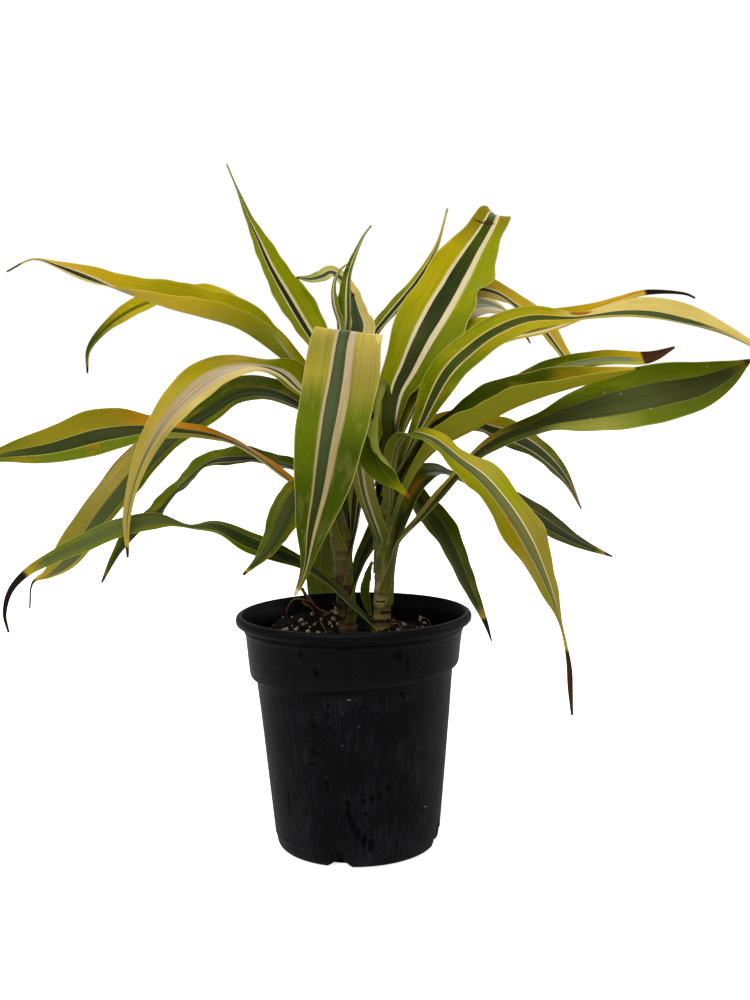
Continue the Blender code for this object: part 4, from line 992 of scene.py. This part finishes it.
        band=[(0, "paleGrey"), (0.5, "oliveGrey")], stripe=[(0.4, "deepGreen"), (0.55, "greyOlive")],
        stripeHalf=0.50, bandHalf=0.55, tip=0.86, tipShade="deadBlack", patches=0.1),
    # Small dark leaf that hangs beside the right cane
    "leaf_right_16": leaf(
        "right", 200, (190, 240, 262),
        [(11, 2, 190), (8.5, 2, 180), (9.5, 2, 171), (12, 1, 162)],
        widths=(6, 8, 8, 7, 5, 2), wave=0.3, clasp=0,
        margin="leafGreen", stripe="deepGreen", band="greyOlive", stripeHalf=0.1, bandHalf=0.2, shift=-0.4,
        tip=0.98, patches=0.0),
    # Back leaf hidden by the crown
    "leaf_right_17": leaf(
        "right", 262, 96,
        [(26, 22, 285), (27, 45, 308), (28, 80, 318), (30, 120, 306), (33, 150, 282), (34, 165, 262)],
        widths=(8, 16, 28, 36, 38, 34, 26, 14, 2),
        margin=[(0, "midGreen"), (0.5, "lime"), (1, "limeGold")], stripe="deepGreen", stripeHalf=0.2,
        bandHalf=0.36, tip=0.97),
}


def unit(vectors):
    return vectors / np.linalg.norm(vectors, axis=-1, keepdims=True)


def pair(given):  # one value stands for both
    return given if isinstance(given, tuple) else (given, given)


def ribOf(design):  # the midrib from the foot of the sheath to the tip, and where along it the blade begins
    turn = math.radians(pair(design["azimuth"])[0])
    outward = np.array([math.cos(turn), math.sin(turn), 0.0])

    def onCane(below):
        height = design["height"] - below
        sunk = leafShape["claspSink"] * below / leafShape["sheath"]
        clear = caneLook["ringRise"] + 0.35 + leafShape["gap"] - sunk
        return caneMiddle(design["cane"], height) + outward * (caneRadius(design["cane"], height) + clear)

    base = onCane(0.0)
    sheath = [onCane(design["clasp"] * share) for share in (1.0, 0.5)] if design["clasp"] else []
    rib = smoothThrough(sheath + [base] + design["path"], leafShape["stations"])
    begins = int(np.argmin(np.linalg.norm(rib - base, axis=1)))
    return rib, begins


def spread(values, along):  # values given evenly from base to tip, read smoothly
    values = np.asarray(values, float)
    places = np.clip(along, 0.0, 1.0) * (len(values) - 1)
    k = np.minimum(places.astype(int), len(values) - 2)
    t = places - k
    slopes = np.gradient(values)
    return hermite(t, values[k], values[k + 1], slopes[k], slopes[k + 1])


def claspCane(half, curls, lengths):  # the sheath widens down the cane and wraps it
    ease = leafShape["claspEase"]
    wrap = np.clip((ease - lengths) / (2 * ease), 0.0, 1.0) ** 1.5
    held = np.clip(wrap * 2.8, 0.0, 1.0)
    down = np.clip(-lengths / leafShape["sheath"], 0.0, 1.0)
    foot = leafShape["claspTop"] + (leafShape["claspFoot"] - leafShape["claspTop"]) * down
    half = half + (np.maximum(half, foot) - half) * held
    round = half / (caneLook["radius"] + 1.2)
    return half, [curl + (round - curl) * held for curl in curls]


def edgeWaves(design, index, share, along, wide, opening):  # how a column's reach and height waver
    side = 0 if share > 0 else 1
    phase = 0.37 * index + 0.4 * side
    cycles = design["waves"] * along
    calm = np.sin(math.pi * np.clip(along / 0.95, 0.0, 1.0))
    waver = np.sin(tau * (1.1 * cycles + 2.3 * phase)) + 0.5 * np.sin(tau * 2.3 * cycles)
    scallop = leafShape["scallop"] * design["scallop"][side] * design["wave"]
    reach = 1 + scallop * wide * calm * opening * share ** 2 * waver
    ripple = design["wave"] * share ** 2 * calm * np.sin(tau * (cycles + phase))
    fine = np.sin(tau * (2.7 * cycles + 1.9 * phase))
    ripple += leafShape["fineWave"] * share ** 4 * calm * wide * fine
    ripple -= leafShape["groove"] * math.exp(-(share / 0.07) ** 2) * wide * opening
    ripple += leafShape["pleats"] * math.cos(share * math.pi * leafShape["pleatCount"]) * wide * opening
    return reach, ripple


def bladeGrid(design, index):  # the blade's middle surface, station by station, and how far along each is
    rib, begins = ribOf(design)
    lengths = np.concatenate([[0.0], np.cumsum(np.linalg.norm(np.diff(rib, axis=0), axis=1))])
    lengths -= lengths[begins]
    along = np.clip(lengths / lengths[-1], 0.0, 1.0)
    tangent = unit(np.gradient(rib, axis=0))
    turn = np.radians(spread(pair(design["azimuth"]), along))
    side = np.stack([np.sin(turn), -np.cos(turn), np.zeros(len(turn))], axis=1)
    side = unit(side - tangent * (side * tangent).sum(axis=1)[:, None])
    face = np.cross(side, tangent)
    roll = np.radians(spread(design["roll"], along))[:, None]
    right = side * np.cos(roll) - face * np.sin(roll)
    up = side * np.sin(roll) + face * np.cos(roll)
    half = np.maximum(spread(design["widths"], along) / 2, leafShape["thread"])
    opening = np.clip(along / leafShape["opensBy"], 0.0, 1.0)
    closed = leafShape["baseCurl"]
    curls = [np.radians(closed + (spread(turned, along) - closed) * opening) for turned in design["curl"]]
    if design["clasp"]:
        half, curls = claspCane(half, curls, lengths)
    wide = np.clip(half / 8.0, 0.0, 1.0)
    columns = leafShape["across"] + 1
    grid = np.zeros((len(rib), columns, 3))
    for j in range(columns):
        share = 2.0 * j / (columns - 1) - 1.0
        hand, lifts, curl = (1.0, "right", curls[0]) if share > 0 else (-1.0, "left", curls[1])
        lift = np.radians(spread(design[lifts], along)) * opening
        bend = lift + curl * abs(share)
        reach, ripple = edgeWaves(design, index, share, along, wide, opening)
        out = half * (np.sin(bend) - np.sin(lift)) / curl * reach
        rise = half * (np.cos(lift) - np.cos(bend)) / curl + ripple
        grid[:, j] = rib + right * (hand * out)[:, None] + up * rise[:, None]
    return grid, lengths / lengths[-1], lengths[-1]


def leafSurface(name, design, index, length):
    surface = Surface(name)
    blade = surface.node("SeparateXYZ", {}, {0: surface.node("UVMap", {"uv_map": "blade"}, {})})
    along = blade.output(1)
    across = blade * 2 - 1
    under = surface.node("Attribute", {"attribute_name": "under"}, {}, "Fac")
    half = max(design["widths"]) / 2
    full = 1 - along.rise(0.50, 0.84)  # the fine lines fade where the blade narrows to its tip

    def shades(stops):
        stops = stops if isinstance(stops, list) else [(0, stops)]
        return surface.ramp(along, [(at, colour(shade)) for at, shade in stops])

    def drawn(wide, long, offset, *settings):  # noise drawn out along the blade
        where = surface.join(across * wide, along * length * long, 3.7 * index + offset)
        return surface.grain(where, 1.0, *settings)

    fibres = drawn(half * 0.85, 0.012, 0, 4.0, 0.65)
    fine = drawn(half * 2.4, 0.012, 5, 2.0)
    drift = drawn(1.6, 0.018, 9) - 0.5
    cloud = drawn(half * 0.09, 0.045, 2, 4.0, 0.6)
    atBase, atTip = pair(design["shift"])
    fromStripe = across - (along * (atTip - atBase) + atBase) + drift * 0.10 + (fibres - 0.5) * 0.05
    distance = abs(fromStripe)
    rightSide = fromStripe.rise(-0.02, 0.02)
    reachRight, reachLeft = pair(design["bandHalf"])
    beyond = distance - (rightSide * (reachRight - reachLeft) + reachLeft)
    margin = surface.mix(rightSide, shades(design["other"] or design["margin"]), shades(design["margin"]))
    margin = surface.mix(cloud.rise(0.48, 0.68) * design["patches"], margin, colour(design["patchShade"]))
    greenLines = fibres.rise(0.45, 0.70) * full * leafPaint["greenLines"]
    margin = surface.mix(greenLines, margin, colour("leafGreen"))
    goldLines = (1 - fine.rise(0.32, 0.48)) * full * leafPaint["goldLines"]
    margin = surface.mix(goldLines, margin, colour("limeGold"))
    band = surface.mix(fine.rise(0.48, 0.66) * leafPaint["bandLines"], shades(design["band"]), margin)
    greyLines = fine.rise(0.46, 0.62) * full * design["lines"] * 0.6
    stripe = surface.mix(greyLines, shades(design["stripe"]), colour("stripeGrey"))
    stripe = surface.mix((1 - abs(across).rise(0.0, 0.035)) * 0.5, stripe, colour("deepGreen"))
    darkEdge = (distance - design["stripeHalf"]).rise(-0.05, -0.01) * 0.5
    stripe = surface.mix(darkEdge, stripe, colour("deepGreen"))
    nearBand = 1 - beyond.rise(-0.025, 0.035)
    nearStripe = 1 - distance.rise(design["stripeHalf"] - 0.012, design["stripeHalf"] + 0.012)
    shade = surface.mix(nearStripe, surface.mix(nearBand, margin, band), stripe)
    hair = fibres.rise(0.60, 0.66) * (nearBand - nearStripe).most(0.0)
    shade = surface.mix(hair * 0.35, shade, colour("leafGreen"))
    shade = surface.mix((1 - along.rise(0.0, 0.16)) * 0.12, shade, colour("sheathWhite"))
    below = along * -length
    sheath = surface.mix(fibres.rise(0.50, 0.66), colour("darkOlive"), colour("sheathWhite"))
    foot = (below + (fibres - 0.5) * 16).rise(design["clasp"] - 8, design["clasp"] - 2)
    sheath = surface.mix(foot, sheath, colour("oliveCane"))
    shade = surface.mix(below.rise(-16, 0) * 0.85, shade, sheath)
    shade = surface.mix(abs(across).rise(0.955, 0.99) * 0.6, shade, colour("rimPale"))
    if design["under"]:
        folded = along.rise(design["underFrom"] - 0.04, design["underFrom"] + 0.04)
        shade = surface.mix(under * folded * leafPaint["underPaint"], shade, shades(design["under"]))
    shade = surface.mix(under * leafPaint["underPale"], shade, colour("paleLime"))
    for at, off, long, wide, name in design["scars"]:
        spot = ((along - at) / long) ** 2 + ((across - off) / wide) ** 2 + (fine - 0.5) * 1.2
        shade = surface.mix((1 - spot.rise(0.55, 1.15)) * 0.92, shade, colour(name))
    tip = design["tip"]
    worn = along + (fibres - 0.5) * 0.02
    fading = 0.15 if tip > 0.97 else 0.55
    shade = surface.mix(worn.rise(tip - 0.05, tip) * fading, shade, colour("gold"))
    dead = worn.rise(tip - 0.004, tip + 0.006)
    shade = surface.mix(dead, shade, colour(design["tipShade"]))
    height = (fibres * 0.7 + fine * 0.5) * full
    rough = leafPaint["roughness"] + (cloud - 0.5) * 0.25 + under * 0.10 + dead * 0.30
    if design["drops"]:  # beads of water on the upper face, each with a painted highlight
        where = surface.join(across * half / 5, along * length / 7, 3.7 * index)
        cells = surface.node("TexVoronoi", {}, {"Vector": where, "Scale": 1.0})
        picked = surface.node("SeparateColor", {}, {0: cells.output("Color")})
        chosen = picked.rise(1 - design["drops"], 1.01 - design["drops"])
        bead = (1 - cells.rise(0.08, 0.17)) * chosen * (1 - under)
        # painted highlight: each bead is lightened towards white
        shade = surface.mix(bead * 0.25, shade, colour("white"))
        height = height + bead * 3.0
        rough = rough - bead * 0.28
    relief = surface.bump(height, leafPaint["relief"], 0.00045)
    return surface.finish(Base_Color=shade, Roughness=rough, Normal=relief,
                          Specular_IOR_Level=leafPaint["glint"], Specular_Tint=colour("sheen"),
                          Subsurface_Weight=leafPaint["through"], Subsurface_Scale=leafPaint["throughDepth"],
                          Subsurface_Radius=leafPaint["throughTint"])


def makeLeaf(name, design, index):
    grid, along, length = bladeGrid(design, index)
    slope = unit(np.cross(np.gradient(grid, axis=1), np.gradient(grid, axis=0)))
    rows, columns = grid.shape[:2]
    shares = np.linspace(-1.0, 1.0, columns)
    edge = leafShape["edgeThickness"]
    depth = edge + (leafShape["thickness"] - edge) * (1 - shares ** 2)
    skin = slope * (depth / 2)[None, :, None]
    loop = np.concatenate([grid + skin, (grid - skin)[:, ::-1]], axis=1)
    around = 2 * columns
    points = loop.reshape(-1, 3)
    faces = ringFaces(rows, around)
    for low in (0, (rows - 1) * around):
        high = low + around
        faces += [(low + j, low + j + 1, high - 2 - j, high - 1 - j) for j in range(columns - 1)]
    material = leafSurface(name + "Skin", design, index, length)
    piece = addPiece(name + ".blade", points, faces, material, name, "leaf")
    columnOf = np.concatenate([np.arange(columns), np.arange(columns)[::-1]])
    spots = np.array([vert.vertex_index for vert in piece.data.loops])
    flat = np.stack([columnOf[spots % around] / (columns - 1), along[spots // around]], axis=1)
    piece.data.uv_layers.new(name="blade").data.foreach_set("uv", flat.astype(np.float32).ravel())
    side = piece.data.attributes.new("under", "FLOAT", "POINT")
    side.data.foreach_set("value", (np.arange(len(points)) % around >= columns).astype(np.float32))
    return piece


for index, (leafName, design) in enumerate(leaves.items()):
    makeLeaf(leafName, design, index)
print("leaves made:", len(leaves))


# Camera, floor and lights

cameraLook = dict(place=(0.0163, -0.9595, 0.3413), pitch=0.1013, roll=-0.0175, lens=50.0, sensor=36.0)
stageLook = dict(floorSize=60.0, world=0.34, bounce=0.62, glow=0.8)
lights = {  # kind, place it shines from, size in metres or degrees, and strength
    "skyLight": ("SUN", (-0.35, -0.95, 1.9), 50.0, 2.6),
    "leftLight": ("AREA", (-1.5, -0.6, 1.0), 0.9, 2.0),
    "rightLight": ("AREA", (1.5, 0.35, 0.6), 0.9, 4.0),
    "backLight": ("AREA", (0.1, 1.5, 1.3), 1.2, 5.0),
}


def makeCamera():
    data = bpy.data.cameras.new("photoCamera")
    data.lens = cameraLook["lens"]
    data.sensor_width = cameraLook["sensor"]
    data.clip_start = 0.05
    camera = bpy.data.objects.new("photoCamera", data)
    camera.matrix_world = (Matrix.Translation(Vector(cameraLook["place"]))
                           @ Matrix.Rotation(math.pi / 2 - cameraLook["pitch"], 4, "X")
                           @ Matrix.Rotation(cameraLook["roll"], 4, "Z"))
    bpy.context.collection.objects.link(camera)
    bpy.context.scene.camera = camera


def makeFloor():
    size = stageLook["floorSize"] / 2
    mesh = bpy.data.meshes.new("floor")
    corners = [(-size, -size, 0.0), (size, -size, 0.0), (size, size, 0.0), (-size, size, 0.0)]
    mesh.from_pydata(corners, [], [(0, 1, 2, 3)])
    floor = bpy.data.objects.new("floor", mesh)
    surface = Surface("paleFloor")
    seen = surface.node("LightPath", {}, {})
    dim = (stageLook["bounce"],) * 3 + (1.0,)  # the floor throws only a little light back up
    shade = surface.mix(seen, dim, colour("floor"))
    lit = surface.mix(seen, (0.0, 0.0, 0.0, 1.0), colour("white"))  # lifts the shadow that the eye sees
    mesh.materials.append(surface.finish(Base_Color=shade, Roughness=0.9, Specular_IOR_Level=0.0,
                                         Emission_Color=lit, Emission_Strength=stageLook["glow"]))
    bpy.context.collection.objects.link(floor)


def makeLights():
    middle = Vector((0.0, 0.0, 0.25))  # of the plant, where each light looks
    for name, (kind, where, size, strength) in lights.items():
        data = bpy.data.lights.new(name, kind)
        if kind == "SUN":
            data.angle = math.radians(size)
        else:
            data.shape = "DISK"
            data.size = size
        data.energy = strength
        lamp = bpy.data.objects.new(name, data)
        lamp.location = where
        lamp.rotation_euler = (middle - Vector(where)).to_track_quat("-Z", "Y").to_euler()
        bpy.context.collection.objects.link(lamp)
    world = bpy.data.worlds.new("studio")
    world.use_nodes = True
    tree = world.node_tree
    seen = tree.nodes.new("ShaderNodeLightPath")
    glow = tree.nodes["Background"]
    bright = tree.nodes.new("ShaderNodeMapRange")  # the eye sees plain white, while the light is softer
    bright.inputs["To Min"].default_value = stageLook["world"]
    bright.inputs["To Max"].default_value = 1.0
    tree.links.new(seen.outputs["Is Camera Ray"], bright.inputs["Value"])
    tree.links.new(bright.outputs[0], glow.inputs["Strength"])
    glow.inputs["Color"].default_value = colour("white")
    bpy.context.scene.world = world
    bpy.context.scene.view_settings.view_transform = "Standard"


makeCamera()
makeFloor()
makeLights()
print("camera, floor and lights made")
